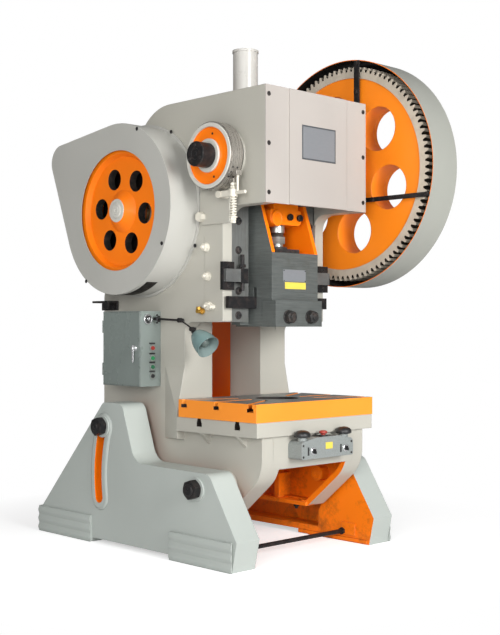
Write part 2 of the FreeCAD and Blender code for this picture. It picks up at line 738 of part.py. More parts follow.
frame_cuts = [
    rod("x", (-boss_face - 1, boss_face + 1), crank, d.journal + d.bush_wall),
    rod("x", (-boss_face - 1, boss_face + 1), drive, d.drive_shaft + d.bush_wall),
    rod("x", (-boss_end - 1, boss_end + 1), pivot, d.pivot_bolt + d.pivot_fit),
    rod("x", (-boss_end - 1, boss_end + 1), lock, d.lock_bolt),
    rod("z", (bed_under - 1, d.bed_height + 1), (0, crank[0]), d.blank_hole),
    rod("z", (d.head_high - d.roof_plate - 1, d.head_high + 1), (0, at(d.tube_depth)),
        d.tube_radius - 6),
]
for slot_depth in (d.bed_tslot_front, d.bed_tslot_rear):
    for half, low, high in (
            (d.tslot_neck / 2, d.bed_height - d.tslot_neck_deep - 1, d.bed_height + 1),
            (d.tslot_foot / 2, d.bed_height - d.tslot_deep, d.bed_height - d.tslot_neck_deep)):
        frame_cuts.append(block((-bed_half - 1, bed_half + 1),
                                (at(slot_depth - half), at(slot_depth + half)), (low, high)))
right_half = cut(fused(half_frame, rod("x", (d.frame_half - 5, d.frame_half + 84), latch_pin, 12)),
                 *frame_cuts)
left_half = cut(mirrored(half_frame), *frame_cuts)
bed = cut(bed, *frame_cuts)
plates = [right_half, left_half, bed]
for plate in (front_panel, cross_wall, roof, back_wall, rear_wall, rear_tie):
    plates.append(cut(plate, *plates, *frame_cuts))
piece("press_frame", several(*plates))

# ---- legs with feet, a pocket on the inside and the arc slot for the tilt lock ----
leg_outline = side(
    (d.foot_front, 0),
    (d.foot_front_end - 5, 0),
    (d.foot_front_end + 5, d.foot_gap_high),
    (d.foot_rear_start - 10, d.foot_gap_high),
    (d.foot_rear_start, 0),
    (d.foot_rear, 0),
    (d.foot_rear - 23, 139),
    (1071, d.leg_peak, 40),
    (901, d.leg_peak, 60),
    (790, d.leg_shoulder, 100),
    (188, d.leg_shoulder - 6, 60),
    (-16, 152))
pocket_outline = side(
    (d.pocket_front, d.pocket_floor, 12),
    (1320, d.pocket_floor, 20),
    (1320, 170, 20),
    (1591, 170, 20),
    (1071 - 20, d.leg_peak - d.leg_rim, 20),
    (901 + 31, d.leg_peak - d.leg_rim, 30),
    (790 + 29, d.leg_shoulder - d.leg_rim - 6, 100),
    (233, d.leg_shoulder - d.leg_rim - 6, 30),
    (d.pocket_front, 150, 20))
leg_rib = d.leg_outer - d.leg_web


def arc_slot(span, half):
    """The space swept by a round bar of this radius along the arc slot."""
    lower = d.lock_angle - d.lock_travel
    ends = []
    for angle in (d.lock_angle, lower):
        middle = (pivot[0] + d.lock_radius * cosine(angle),
                  pivot[1] + d.lock_radius * sine(angle))
        ends.append(rod("x", span, middle, half))
    wedge = prism("x", span, [
        pivot,
        (pivot[0] + 1300 * cosine(lower), pivot[1] + 1300 * sine(lower)),
        (pivot[0] + 1300 * cosine(d.lock_angle), pivot[1] + 1300 * sine(d.lock_angle))])
    return fused(shared(ring("x", span, pivot, d.lock_radius + half, d.lock_radius - half), wedge),
                 *ends)


leg_bosses = fused(rod("x", (leg_inner - 1, leg_rib + 1), pivot, d.pivot_boss),
                   arc_slot((leg_inner - 1, leg_rib + 1), d.slot_half + d.slot_rim))
leg_pocket = cut(prism("x", (leg_inner - 1, leg_rib), pocket_outline), leg_bosses)
feet = [
    block((leg_inner + 2, d.leg_outer + d.foot_proud), (at(d.foot_front), at(d.foot_front_end)),
          (0, d.foot_high)),
    block((leg_inner + 2, d.leg_outer + d.foot_proud), (at(d.foot_rear_start), at(d.foot_rear - 15)),
          (0, d.foot_high)),
]
anchor_line = (leg_inner + d.leg_outer) / 2
leg = cut(
    fused(prism("x", (leg_inner, d.leg_outer), leg_outline), *feet,
          arc_slot((d.leg_outer - 2, d.leg_outer + d.slot_rim_high), d.slot_half + d.slot_rim)),
    leg_pocket,
    arc_slot((leg_inner - 2, d.leg_outer + d.slot_rim_high + 2), d.slot_half),
    rod("x", (leg_inner - 2, d.leg_outer + 2), pivot, d.pivot_bolt),
    rod("z", (-1, 171), (anchor_line, at(d.anchor_front)), d.anchor_hole),
    rod("z", (-1, 171), (anchor_line, at(anchor_rear)), d.anchor_hole),
    rod("x", (leg_inner - 2, leg_inner + d.tie_seat), (at(d.tie_depth), d.tie_height), d.tie_radius),
    rod("x", (leg_inner - 2, leg_inner + d.tie_seat), (at(d.tie_rear_depth), d.tie_height),
        d.tie_radius))
piece("leg_left", mirrored(leg))
piece("leg_right", leg)

# ---- tie rods between the legs, each with a nut against either leg ----
ties = []
for tie_depth in (d.tie_depth, d.tie_rear_depth):
    place = (at(tie_depth), d.tie_height)
    ties.append(rod("x", (-leg_inner - d.tie_seat, leg_inner + d.tie_seat), place, d.tie_radius))
    nut = cut(hexagon("x", (leg_inner - 19, leg_inner), place, 36),
              rod("x", (leg_inner - 20, leg_inner + 1), place, d.tie_radius))
    ties.append(nut)
    ties.append(mirrored(nut))
piece("tie_rods", several(*ties))

# ---- pivot bolts, fast in the legs, and tilt lock bolts, fast in the frame ----
washer_face = d.leg_outer + d.washer_plate
pivot_bolt = fused(rod("x", (cheek_inner - 13, washer_face), pivot, d.pivot_bolt),
                   rod("x", (d.leg_outer, washer_face), pivot, d.bolt_washer),
                   hexagon("x", (washer_face - 1, washer_face + d.bolt_nut), pivot, d.bolt_flats))
piece("pivot_bolts", several(pivot_bolt, mirrored(pivot_bolt)))
rim_face = d.leg_outer + d.slot_rim_high + d.leg_clear
lock_bolt = fused(rod("x", (cheek_inner - 5, rim_face + 2), lock, d.lock_bolt),
                  rod("x", (rim_face, rim_face + d.washer_plate), lock, d.bolt_washer),
                  hexagon("x", (rim_face + d.washer_plate - 1, rim_face + d.washer_plate + d.bolt_nut),
                          lock, d.bolt_flats))
piece("tilt_lock_bolts", several(lock_bolt, mirrored(lock_bolt)))

# ---- covers and guards ----
piece("front_cover", fused(
    block((-d.frame_half, d.frame_half), (at(-d.cover_plate), at(0)), (d.head_low, d.head_high)),
    block((-d.cover_fold, d.cover_fold), (at(-d.cover_plate - d.cover_step), at(-d.cover_plate + 1)),
          (d.head_low + 1, d.head_high - 1))))
tube_place = (0, at(d.tube_depth))
piece("top_tube", cut(
    fused(rod("z", (d.head_high, d.tube_top), tube_place, d.tube_radius),
          rod("z", (d.head_high, d.head_high + 12), tube_place, d.tube_radius + 25),
          rod("z", (d.tube_top - 14, d.tube_top), tube_place, d.tube_radius + 4)),
    rod("z", (d.head_high - 1, d.tube_top + 1), tube_place, d.tube_radius - 6)))
guard_span = (d.guard_inner, d.guard_outer)
pinion_cover = d.gear_module * (d.pinion_teeth + 2) / 2 + 24
piece("gear_guard", cut(
    fused(rod("x", guard_span, crank, d.guard_radius), rod("x", guard_span, drive, pinion_cover)),
    rod("x", (d.guard_inner - 1, d.guard_outer + 1), crank, d.guard_radius - d.guard_sheet),
    rod("x", (d.guard_inner - 1, d.guard_outer + 1), drive, pinion_cover - d.guard_sheet)))
bar_face = d.guard_inner
bar_back = d.guard_inner - d.guard_bar_thick
rise_depth = 181
rise_high = d.crank_height + 640
rise_low = d.crank_height + 200
reach_depth = 115
reach_low = d.crank_height - 179
thick = d.guard_bar_thick
piece("guard_bars", several(
    fused(block((bar_back, bar_face), (at(rise_depth - d.guard_bar_wide / 2),
                                       at(rise_depth + d.guard_bar_wide / 2)), (rise_low, rise_high)),
          block((d.frame_half, bar_face), (at(rise_depth - d.guard_bar_wide / 2),
                                           at(rise_depth + d.guard_bar_wide / 2)),
                (rise_low, rise_low + thick)),
          block((d.frame_half, d.frame_half + thick), (at(rise_depth - d.guard_bar_wide / 2),
                                                       at(rise_depth + d.guard_bar_wide / 2)),
                (rise_low, rise_low + 70))),
    fused(block((bar_back, bar_face), (at(d.crank_depth - 632), at(reach_depth)),
                (reach_low, reach_low + 25)),
          block((d.frame_half, bar_face), (at(reach_depth - thick), at(reach_depth)),
                (reach_low, reach_low + 25)),
          block((d.frame_half, d.frame_half + thick), (at(reach_depth - 70), at(reach_depth)),
                (reach_low, reach_low + 25)))))
case_axis = (drive[0] + d.case_shift, drive[1] + d.case_shift - 1)
case_sheet = d.guard_sheet
case = cut(hull((-d.case_face, -d.case_inner), case_axis, d.case_radius, motor_axis, d.case_corner),
           hull((-d.case_face + case_sheet, -d.case_inner + 1), case_axis,
                d.case_radius - case_sheet, motor_axis, d.case_corner - case_sheet),
           rod("x", (-d.case_face - 1, -d.case_face + 10), drive, d.case_window))
case_rim = cut(hull((-d.case_inner - 5, -d.frame_half), case_axis, d.case_radius + 14,
                    motor_axis, d.case_corner + 14),
               hull((-d.case_inner - 6, -d.frame_half + 1), case_axis, d.case_radius - 4,
                    motor_axis, d.case_corner - 4))
piece("flywheel_guard", fused(case, case_rim))

# ---- gibs with their bolts and set screws ----
gib = block((d.gib_inner, d.gib_outer), (at(d.gib_depth), at(guide_front)),
            (d.throat_high, d.way_high))
gib_bolt_heights = [d.crank_height - drop for drop in (323, 478, 695, 825)]
gib_bolt_holes = []
gib_bolt_heads = []
for height in gib_bolt_heights:
    place = ((d.way_inner + d.gib_outer) / 2 - 5, height)
    gib_bolt_holes.append(rod("y", (at(d.gib_depth - 1), at(guide_front + 1)), place, 10))
    gib_bolt_heads.append(fused(
        rod("y", (at(d.gib_depth), at(guide_front)), place, 10),
        hexagon("y", (at(d.gib_depth - 12), at(d.gib_depth)), place, 32)))
gib = cut(gib, *gib_bolt_holes)
piece("gib_left", mirrored(gib))
piece("gib_right", gib)
gib_bolts_right = several(*gib_bolt_heads)
piece("gib_bolts", several(gib_bolts_right, mirrored(gib_bolts_right)))
set_screws = []
for screw_depth, drop in ((443, 462), (430, 617), (421, 776)):
    place = (at(screw_depth), d.crank_height - drop)
    set_screws.append(fused(rod("x", (d.frame_half, d.frame_half + 6), place, 20),
                            hexagon("x", (d.frame_half + 5, d.frame_half + 20), place, 32),
                            rod("x", (d.frame_half + 19, d.frame_half + 40), place, 9)))
screws_right = several(*set_screws)
piece("gib_set_screws", several(screws_right, mirrored(screws_right)))

# ---- crankshaft in its bushes, with brake drum and clutch hub ----
bush_span = (cheek_inner - 4, boss_face + 2)
bush = ring("x", bush_span, crank, d.journal + d.bush_wall, d.journal + d.journal_fit)
piece("crank_bushes", several(bush, mirrored(bush)))
pin = (crank[0], crank[1] + d.crank_throw)
web_end = d.pin_half + d.web_plate
journal_end = boss_face + 4
piece("crankshaft", fused(
    rod("x", (-d.shaft_end, -journal_end + 1), crank, d.shaft_end_radius),
    rod("x", (-journal_end, -d.pin_half - 1), crank, d.journal),
    rod("x", (-web_end, -d.pin_half), crank, d.crank_web),
    rod("x", (-d.pin_half - 1, d.pin_half + 1), pin, d.crank_pin),
    rod("x", (d.pin_half, web_end), crank, d.crank_web),
    rod("x", (d.pin_half + 1, journal_end), crank, d.journal),
    rod("x", (journal_end - 1, d.shaft_right), crank, d.shaft_end_radius),
    rod("x", (d.gear_inner + d.gear_wide + 1, d.gear_inner + d.gear_wide + 21), crank,
        d.shaft_end_radius + 34)))
drum_back = d.shaft_left - d.drum_wide
piece("brake_drum", turned(crank, [
    (d.shaft_end_radius, -d.shaft_left - 6),
    (d.drum_hub, -d.shaft_left - 6),
    (d.drum_hub, -d.shaft_left + 8),
    (d.drum_dish, -d.shaft_left + 8),
    (d.drum_dish, -d.shaft_left),
    (d.drum_radius, -d.shaft_left),
    (d.drum_radius, -drum_back),
    (d.drum_dish, -drum_back),
    (d.drum_dish, -drum_back - 34),
    (d.drum_hub, -drum_back - 34),
    (d.drum_hub, -drum_back + 4),
    (d.shaft_end_radius, -drum_back + 4)]))
hub_out = d.gear_inner - d.gear_hub_out
hub_span = (journal_end, hub_out - 5)
hub_radius = d.gear_hub
piece("clutch_hub", ring("x", hub_span, crank, hub_radius, d.shaft_end_radius))
latch_x = (hub_span[0] + 34, hub_span[1] - 34)
nose = crank[0] + hub_radius + 1
piece("clutch_latch", cut(
    fused(rod("x", latch_x, latch_pin, 24),
          prism("x", latch_x, [
              (latch_pin[0] - 18, latch_pin[1]),
              (nose + 8, crank[1] + 20),
              (nose, crank[1] + 12),
              (nose, crank[1] - 12),
              (nose + 34, crank[1] - 12),
              (latch_pin[0] + 18, latch_pin[1])]),
          prism("x", latch_x, [
              (latch_pin[0] - 12, latch_pin[1]),
              (latch_pin[0] + 12, latch_pin[1]),
              (latch_pin[0] + 90, latch_pin[1] + 40),
              (latch_pin[0] + 84, latch_pin[1] + 56)])),
    rod("x", (latch_x[0] - 1, latch_x[1] + 1), latch_pin, 12.05)))

# ---- bull gear and pinion: flanks are chords of a 20 degree involute ----
PRESSURE = math.radians(20)
BACKLASH = 1.2


def involute_gap(angle):
    return math.tan(angle) - angle


def gear_blank(span, middle, teeth, bore, facing):
    """A spur gear; one tooth points at the angle facing."""
    module = float(d.gear_module)
    count = int(float(teeth))
    pitch = module * count / 2
    base = pitch * math.cos(PRESSURE)
    tip = pitch + module
    root = pitch - 1.25 * module
    half_tooth = math.pi / 2 / count - BACKLASH / 2 / pitch

    def half_angle(radius):
        if radius <= base:
            return half_tooth + involute_gap(PRESSURE)
        return half_tooth + involute_gap(PRESSURE) - involute_gap(math.acos(base / radius))

    start = max(base, root)
    radii = [root, start, (start + pitch) / 2, pitch, (pitch + tip) / 2, tip]
    if root >= base:
        radii = [root, (root + pitch) / 2, pitch, tip]
    points = []
    for index in range(count):
        centre = facing + 2 * math.pi * index / count
        flank = [(radius, centre - half_angle(radius)) for radius in radii]
        flank += [(radius, centre + half_angle(radius)) for radius in reversed(radii)]
        for radius, angle in flank:
            points.append(Vector(float(span[0]),
                                 float(middle[0]) + radius * math.cos(angle),
                                 float(middle[1]) + radius * math.sin(angle)))
    outline = Part.Wire(Part.makePolygon(points + points[:1]))
    blank = Part.Face(outline).extrude(Vector(float(span[1]) - float(span[0]), 0, 0))
    feature = fresh("Part::Feature", "Teeth")
    feature.Shape = blank
    return cut(feature, rod("x", (span[0] - 1, span[1] + 1), middle, bore))


facing_drive = -math.radians(float(d.drive_drop))
gear_span = (d.gear_inner, d.gear_inner + d.gear_wide)
web_span = (d.gear_inner + d.gear_web_step, d.gear_inner + d.gear_wide - d.gear_web_step)
gear_holes = []
for index in range(6):
    angle = Size(60 * index, str(60 * index)) + d.gear_hole_start
    gear_holes.append(rod("x", (d.gear_inner - 1, gear_span[1] + 1),
                          (crank[0] + d.gear_hole_circle * cosine(angle),
                           crank[1] + d.gear_hole_circle * sine(angle)), d.gear_hole))
web_recess = [
    ring("x", (gear_span[0] - 1, web_span[0]), crank, d.gear_rim, d.gear_hub),
    ring("x", (web_span[1], gear_span[1] + 1), crank, d.gear_rim, d.gear_hub),
]
gear_bore = d.shaft_end_radius + d.journal_fit
gear_body = cut(gear_blank(gear_span, crank, d.gear_teeth, gear_bore, facing_drive),
                *web_recess, *gear_holes)
piece("bull_gear", fused(
    gear_body,
    ring("x", (hub_out, gear_span[0] + 1), crank, d.gear_hub, gear_bore)))
tooth_step = math.pi / float(d.pinion_teeth)
piece("pinion", gear_blank((gear_span[0] - 5, gear_span[1] + 5), drive, d.pinion_teeth,
                           d.drive_shaft, facing_drive + math.pi + tooth_step))

# ---- drive shaft with its bushes and the flywheel ----
shaft_bush = ring("x", bush_span, drive, d.drive_shaft + d.bush_wall, d.drive_shaft + d.journal_fit)
piece("shaft_bearings", several(shaft_bush, mirrored(shaft_bush)))
piece("drive_shaft", rod("x", (-d.hub_face + 6, gear_span[1] + 20), drive, d.drive_shaft))
rim_back = d.flywheel_face - d.flywheel_wide
web_front = d.flywheel_face - d.flywheel_sink
web_back = web_front - d.flywheel_web
flywheel = turned(drive, [
    (0, -d.hub_face),
    (d.flywheel_hub, -d.hub_face),
    (d.flywheel_hub_root, -web_front),
    (d.flywheel_dish - 16, -web_front),
    (d.flywheel_dish, -d.flywheel_face),
    (d.flywheel_radius, -d.flywheel_face),
    (d.flywheel_radius, -rim_back),
    (d.flywheel_dish + 26, -rim_back),
    (d.flywheel_dish + 10, -web_back),
    (d.flywheel_hub_root, -web_back),
    (d.flywheel_hub, -rim_back),
    (0, -rim_back)])
wheel_cuts = [rod("x", (-d.hub_face + 6, -rim_back + 1), drive, d.drive_shaft)]
for index in range(6):
    angle = Size(60 * index + 67, str(60 * index + 67))
    wheel_cuts.append(rod("x", (-d.flywheel_face - 1, -rim_back),
                          (drive[0] + d.flywheel_hole_circle * cosine(angle),
                           drive[1] + d.flywheel_hole_circle * sine(angle)), d.flywheel_hole))
piece("flywheel", cut(flywheel, *wheel_cuts))

# ---- motor on its bracket, pulley and belts ----
motor_span = (Size(-330, "-330"), Size(190, "190"))
foot_top = motor_axis[1] - d.motor_radius + 15
foot_low = motor_axis[1] - d.motor_radius - 20
pulley_shaft = 19
motor_body = fused(
    rod("x", motor_span, motor_axis, d.motor_radius),
    rod("x", (motor_span[0], motor_span[0] + 22), motor_axis, d.motor_radius + 14),
    rod("x", (motor_span[1] - 70, motor_span[1]), motor_axis, d.motor_radius + 10),
    block((-120, 100), (motor_axis[0] - 70, motor_axis[0] + 70),
          (motor_axis[1] + 120, motor_axis[1] + 205)),
    block((-230, -150), (motor_axis[0] - 140, motor_axis[0] + 140), (foot_low, foot_top + 20)),
    block((60, 140), (motor_axis[0] - 140, motor_axis[0] + 140), (foot_low, foot_top + 20)))
piece("motor", cut(motor_body, rod("x", (motor_span[0] - 1, motor_span[0] + 60), motor_axis,
                                   pulley_shaft + d.journal_fit)))
bracket_front = at(1030 + d.wall_plate)
bracket_rear = motor_axis[0] + 160
gusset_outline = [
    (bracket_front + 10, foot_low - 380),
    (bracket_front + 24, foot_low - 380),
    (bracket_rear - 20, foot_low - 30),
    (bracket_rear - 20, foot_low - 10),
    (bracket_front + 10, foot_low - 10)]
piece("motor_bracket", fused(
    block((-300, 240), (bracket_front, bracket_rear), (foot_low - 20, foot_low)),
    block((-300, 240), (bracket_front, bracket_front + 24), (foot_low - 400, foot_low - 10)),
    prism("x", (-290, -270), gusset_outline),
    prism("x", (210, 230), gusset_outline)))
belt_middle = d.flywheel_face - d.flywheel_wide / 2
belt_row = (d.belt_count - 1) * d.belt_pitch / 2
pulley_half = belt_row + d.belt_wide / 2 + 8
piece("motor_pulley", fused(
    rod("x", (-belt_middle - pulley_half, -belt_middle + pulley_half), motor_axis, d.pulley_radius),
    rod("x", (-belt_middle, motor_span[0] + 55), motor_axis, pulley_shaft)))
belts = []
for index in range(int(float(d.belt_count))):
    start = -belt_middle - belt_row - d.belt_wide / 2 + d.belt_pitch * index
    span = (start, start + d.belt_wide)
    belts.append(cut(
        hull(span, drive, d.flywheel_radius + d.belt_play + d.belt_high,
             motor_axis, d.pulley_radius + d.belt_play + d.belt_high),
        hull((start - 1, start + d.belt_wide + 1), drive, d.flywheel_radius + d.belt_play,
             motor_axis, d.pulley_radius + d.belt_play)))
piece("v_belts", several(*belts))

# ---- brake band with its rod, spring and anchor ----
band_inner = d.drum_radius + d.leg_clear
band_outer = band_inner + 6
band_middle = -(d.shaft_left + drum_back) / 2
band_span = (band_middle - 36, band_middle + 36)
rod_place = (band_middle + 12, at(d.crank_depth - 130))
rod_top = d.crank_height - 146
lug_place = (rod_place[0], rod_place[1] - 33)
band_gap = prism("x", (band_span[0] - 1, band_span[1] + 1), [
    crank,
    (crank[0] - 400 * cosine(Size(44, "44")), crank[1] - 400 * sine(Size(44, "44"))),
    (crank[0] - 400 * cosine(Size(36, "36")), crank[1] - 400 * sine(Size(36, "36")))])
piece("brake_band", fused(
    cut(ring("x", band_span, crank, band_outer, band_inner), band_gap),
    block((rod_place[0] - 20, rod_place[0] + 20), (rod_place[1] - 22, rod_place[1] + 12),
          (rod_top, rod_top + 18)),
    block((rod_place[0] - 20, rod_place[0] + 20), (lug_place[1] - 13, lug_place[1] + 13),
          (rod_top + 34, rod_top + 60))))
eye_height = d.crank_height - 200
piece("brake_rod", fused(
    rod("z", (eye_height - 140, rod_top), rod_place, 8),
    rod("z", (eye_height - 126, eye_height - 120), rod_place, 22),
    hexagon("z", (eye_height - 140, eye_height - 126), rod_place, 26)))
spring_top = eye_height - 20
piece("brake_spring", ring("z", (eye_height - 120, spring_top), rod_place, 18, 11))
plate_back = (-d.frame_half - 12, -d.frame_half)
arm_x = (rod_place[0] - 10, rod_place[0] + 10)
piece("brake_anchor", cut(
    fused(prism("x", plate_back, side(
              (251, eye_height + 39, 20), (483, eye_height + 39, 20),
              (483, eye_height - 144, 20), (251, eye_height - 144, 20))),
          rod("x", (rod_place[0] - 16, -d.frame_half - 5), (at(270), eye_height), 18),
          prism("x", arm_x, [
              (at(270), eye_height + 16), (rod_place[1], eye_height + 16),
              (rod_place[1], eye_height - 16), (at(270), eye_height - 16)]),
          rod("z", (spring_top, eye_height + 20), rod_place, 22),
          rod("y", (rod_place[1] - 90, rod_place[1]), (rod_place[0], eye_height), 9),
          rod("z", (eye_height, rod_top + 34), lug_place, 6),
          hexagon("x", (-d.frame_half - 42, -d.frame_half - 11), (at(462), eye_height - 100), 46)),
    rod("z", (spring_top - 1, eye_height + 21), rod_place, 8)))

# ---- connecting rod, cap, bolts and the ball screw ----
eye_split = pin[1]
lug = 160
rod_bore = d.crank_pin + d.journal_fit
eye_span = (-d.rod_eye_half, d.rod_eye_half)
foot_centre = crank[0]
foot_block = prism("y", (foot_centre - d.rod_half_deep, foot_centre + d.rod_half_deep), [
    (-d.rod_foot_half, d.rod_foot_low, 28),
    (d.rod_foot_half, d.rod_foot_low, 28),
    (d.rod_foot_half, d.rod_foot_high, 10),
    (-d.rod_foot_half, d.rod_foot_high, 10)])
rod_body = cut(
    fused(rod("x", eye_span, pin, d.rod_eye),
          block((-d.rod_eye_half + 14, d.rod_eye_half - 14),
                (foot_centre - d.rod_half_deep, foot_centre + d.rod_half_deep),
                (d.rod_foot_high - 20, pin[1] - d.crank_pin)),
          foot_block,
          rod("y", (foot_centre - d.rod_half_deep - 8, foot_centre), (-72, d.rod_foot_low + 34), 44),
          block((-d.rod_eye_half + 20, d.rod_eye_half - 20), (pin[0] - lug, pin[0] + lug),
                (eye_split - 60, eye_split))),
    block((-200, 200), (pin[0] - 200, pin[0] + 200), (eye_split, eye_split + 400)),
    rod("x", (-d.rod_eye_half - 1, d.rod_eye_half + 1), pin, rod_bore))
screw_top = d.rod_foot_low + 130
rod_bolt_places = []
for right in (-1, 1):
    for back in (-1, 1):
        rod_bolt_places.append((Size(55 * right, str(55 * right)), pin[0] + back * 134))
rod_body = cut(rod_body, rod("z", (d.rod_foot_low - 1, screw_top), (0, foot_centre), d.ball_screw),
               *[rod("z", (eye_split - 61, eye_split + 1), place, 14) for place in rod_bolt_places])
piece("connecting_rod", rod_body)
cap = cut(
    fused(rod("x", eye_span, pin, d.rod_eye),
          block((-d.rod_eye_half + 20, d.rod_eye_half - 20), (pin[0] - lug, pin[0] + lug),
                (eye_split, eye_split + 60))),
    block((-200, 200), (pin[0] - 200, pin[0] + 200), (eye_split - 400, eye_split)),
    rod("x", (-d.rod_eye_half - 1, d.rod_eye_half + 1), pin, rod_bore),
    *[rod("z", (eye_split - 1, eye_split + 61), place, 14) for place in rod_bolt_places],
    *[rod("z", (eye_split + 60, eye_split + 140), place, 30) for place in rod_bolt_places])
piece("rod_cap", cap)
clamp_bolts = []
for across in (22, 98):
    clamp_bolts.append(hexagon("y", (foot_centre - d.rod_half_deep - 16, foot_centre - d.rod_half_deep),
                               (across, d.rod_foot_low + 43), 28))
piece("rod_bolts", several(*[
    fused(rod("z", (eye_split - 60, eye_split + 78), place, 14),
          hexagon("z", (eye_split + 60, eye_split + 82), place, 44)) for place in rod_bolt_places],
    *clamp_bolts))
ball_place = (0, crank[0], d.ball_height)
neck_radius = d.ball_screw - 8
piece("ball_screw", fused(
    ball(ball_place, d.ball_radius),
    rod("z", (d.ball_height, d.rod_foot_low + 2), (0, crank[0]), neck_radius),
    hexagon("z", (d.rod_foot_low - 100, d.rod_foot_low - 62), (0, crank[0]), 78),
    rod("z", (d.rod_foot_low - 40, screw_top), (0, crank[0]), d.ball_screw)))

# ---- slide with its shank clamp, ball retainer and knock-out bar ----
slide_walls = prism("x", (d.slide_half - d.slide_wall, d.slide_half), [
    (at(d.slide_front + 2), d.slide_block_high - 5),
    (at(d.slide_front + 2), d.slide_block_high + 6),
    (at(d.slide_front + d.slide_lean), d.slide_high),
    (at(d.slide_rear), d.slide_high),
    (at(d.slide_rear), d.slide_block_high - 5)])
guide_half = d.way_inner - d.guide_play
guide = block((d.slide_half - d.slide_wall, guide_half),
              (at(guide_front + d.guide_play), at(guide_rear - d.guide_play)),
              (d.slide_low + 10, d.slide_high))
slot_half = d.knock_bar_thick / 2 + d.knock_play
ball_hole = d.ball_radius + 1
ball_floor = d.ball_height - ball_hole - 16
slide_body = cut(
    fused(block((-d.slide_half, d.slide_half), (at(d.clamp_split), at(d.slide_rear)),
                (d.slide_low, d.clamp_high + 10)),
          block((-d.slide_half, d.slide_half), (at(d.slide_front), at(d.slide_rear)),
                (d.clamp_high + 1, d.slide_block_high)),
          slide_walls, mirrored(slide_walls), guide, mirrored(guide)),
    rod("z", (d.slide_low - 1, d.slide_low + d.shank_deep), (0, crank[0]), d.shank_radius),
    block((-d.slide_half - 80, d.slide_half + 80), (at(d.knock_depth) - slot_half,
                                                    at(d.knock_depth) + slot_half),
          (d.knock_slot_low, d.knock_slot_high)),
    rod("z", (ball_floor, d.slide_block_high + 1), (0, crank[0]), ball_hole),
    block((-ball_hole, ball_hole), (crank[0], crank[0] + ball_hole + d.ball_room),
          (ball_floor, d.slide_block_high + 1)))
piece("slide", slide_body)
nut_places = [(Size(85 * right, str(85 * right)), d.slide_low + 52) for right in (-1, 1)]
clamp_block = cut(
    block((-d.slide_half - 1.5, d.slide_half + 1.5), (at(d.clamp_front), at(d.clamp_split)),
          (d.slide_low, d.clamp_high)),
    *[rod("y", (at(d.clamp_front) - 1, at(d.clamp_split) + 1), place, 20) for place in nut_places])
piece("shank_clamp", clamp_block)
piece("clamp_nuts", several(*[
    fused(rod("y", (at(d.clamp_front) - 44, at(d.clamp_split)), place, 20),
          hexagon("y", (at(d.clamp_front) - 30, at(d.clamp_front)), place, 64))
    for place in nut_places]))
retainer_slot = d.ball_screw + 3
piece("ball_retainer", cut(
    fused(block((-92, 92), (at(218), at(d.slide_rear - 4)),
                (d.slide_block_high, d.slide_block_high + 26)),
          rod("z", (d.slide_block_high, d.slide_block_high + 38), (-18, crank[0]), 68)),
    rod("z", (d.slide_block_high - 1, d.slide_block_high + 60), (0, crank[0]), retainer_slot),
    block((-retainer_slot, retainer_slot), (crank[0], at(d.slide_rear)),
          (d.slide_block_high - 1, d.slide_block_high + 60))))
knock_low = d.knock_slot_low + d.leg_clear
knock_lift = d.knock_slot_high - d.knock_slot_low - d.knock_bar_high - 1
piece("knockout_bar", block(
    (-d.knock_bar_half, d.knock_bar_half),
    (at(d.knock_depth - d.knock_bar_thick / 2), at(d.knock_depth + d.knock_bar_thick / 2)),
    (knock_low, knock_low + d.knock_bar_high)))
stop_place = (270, at(d.knock_depth))
stop_low = d.knock_slot_high + 4
stop = fused(
    prism("y", (at(d.gib_depth - 22), at(d.gib_depth)), [
        (326, stop_low - 20), (407, stop_low - 20), (407, stop_low + 128), (326, stop_low + 128)]),
    block((250, 334), (at(d.knock_depth - 12), at(d.gib_depth - 1)), (stop_low + 22, stop_low + 90)),
    block((244, 297), (at(d.knock_depth - 18), at(d.knock_depth + 20)), (stop_low + 16, stop_low + 94)),
    block((290, 400), (at(d.knock_depth - 16), at(d.gib_depth - 21)), (stop_low + 22, stop_low + 90)),
    rod("z", (stop_low - 24, stop_low + 168), stop_place, 11),
    hexagon("z", (stop_low + 100, stop_low + 116), stop_place, 34))
piece("knockout_stops", several(stop, mirrored(stop)))

# ---- electric cabinet with its door, buttons and lamp ----
cabinet_left = -d.frame_half - d.cabinet_wide
cabinet_y = (at(d.cabinet_front), at(d.cabinet_front + d.cabinet_deep))
door_x = (cabinet_left, cabinet_left + d.cabinet_sheet)
shell_left = door_x[1] + d.door_play
sheet_wall = d.cabinet_sheet * 4
button_centre = Size(-450, "-450")
cabinet_part = (d.cabinet_high - d.cabinet_low) / 416
button_heights = [d.cabinet_low + up * cabinet_part for up in (212, 156, 107, 57)]
button_bore = d.button_radius + d.leg_clear
shell_holes = []
shell_rims = []
for height in button_heights:
    place = (button_centre, height)
    shell_rims.append(rod("y", (cabinet_y[0] - 5, cabinet_y[0] + 2), place, d.button_radius + 7))
    shell_holes.append(rod("y", (cabinet_y[0] - 6, cabinet_y[0] + sheet_wall + 1), place, button_bore))
lamp_root = (Size(-436, "-436"), at(d.lamp_root_depth - 18), d.lamp_root_height)
lamp_foot = rod("y", (lamp_root[1] - 16, cabinet_y[0] + 2), (lamp_root[0], lamp_root[2]), 17)
dial = rod("y", (cabinet_y[0] - 9, cabinet_y[0] + 2), (-487, d.cabinet_high - 44), 26)
hinge_place = (door_x[0] + 1, cabinet_y[1] + 4)
hinge_heights = [d.cabinet_low + up * cabinet_part for up in (75, 315)]
hinge_pins = []
for height in hinge_heights:
    hinge_pins.append(rod("z", (height - 20, height + 46), hinge_place, 2))
    hinge_pins.append(rod("z", (height - 20, height - 0.3), hinge_place, 4))
    hinge_pins.append(block((hinge_place[0], hinge_place[0] + 16), (cabinet_y[1] - 1, cabinet_y[1] + 6),
                            (height - 20, height - 0.3)))
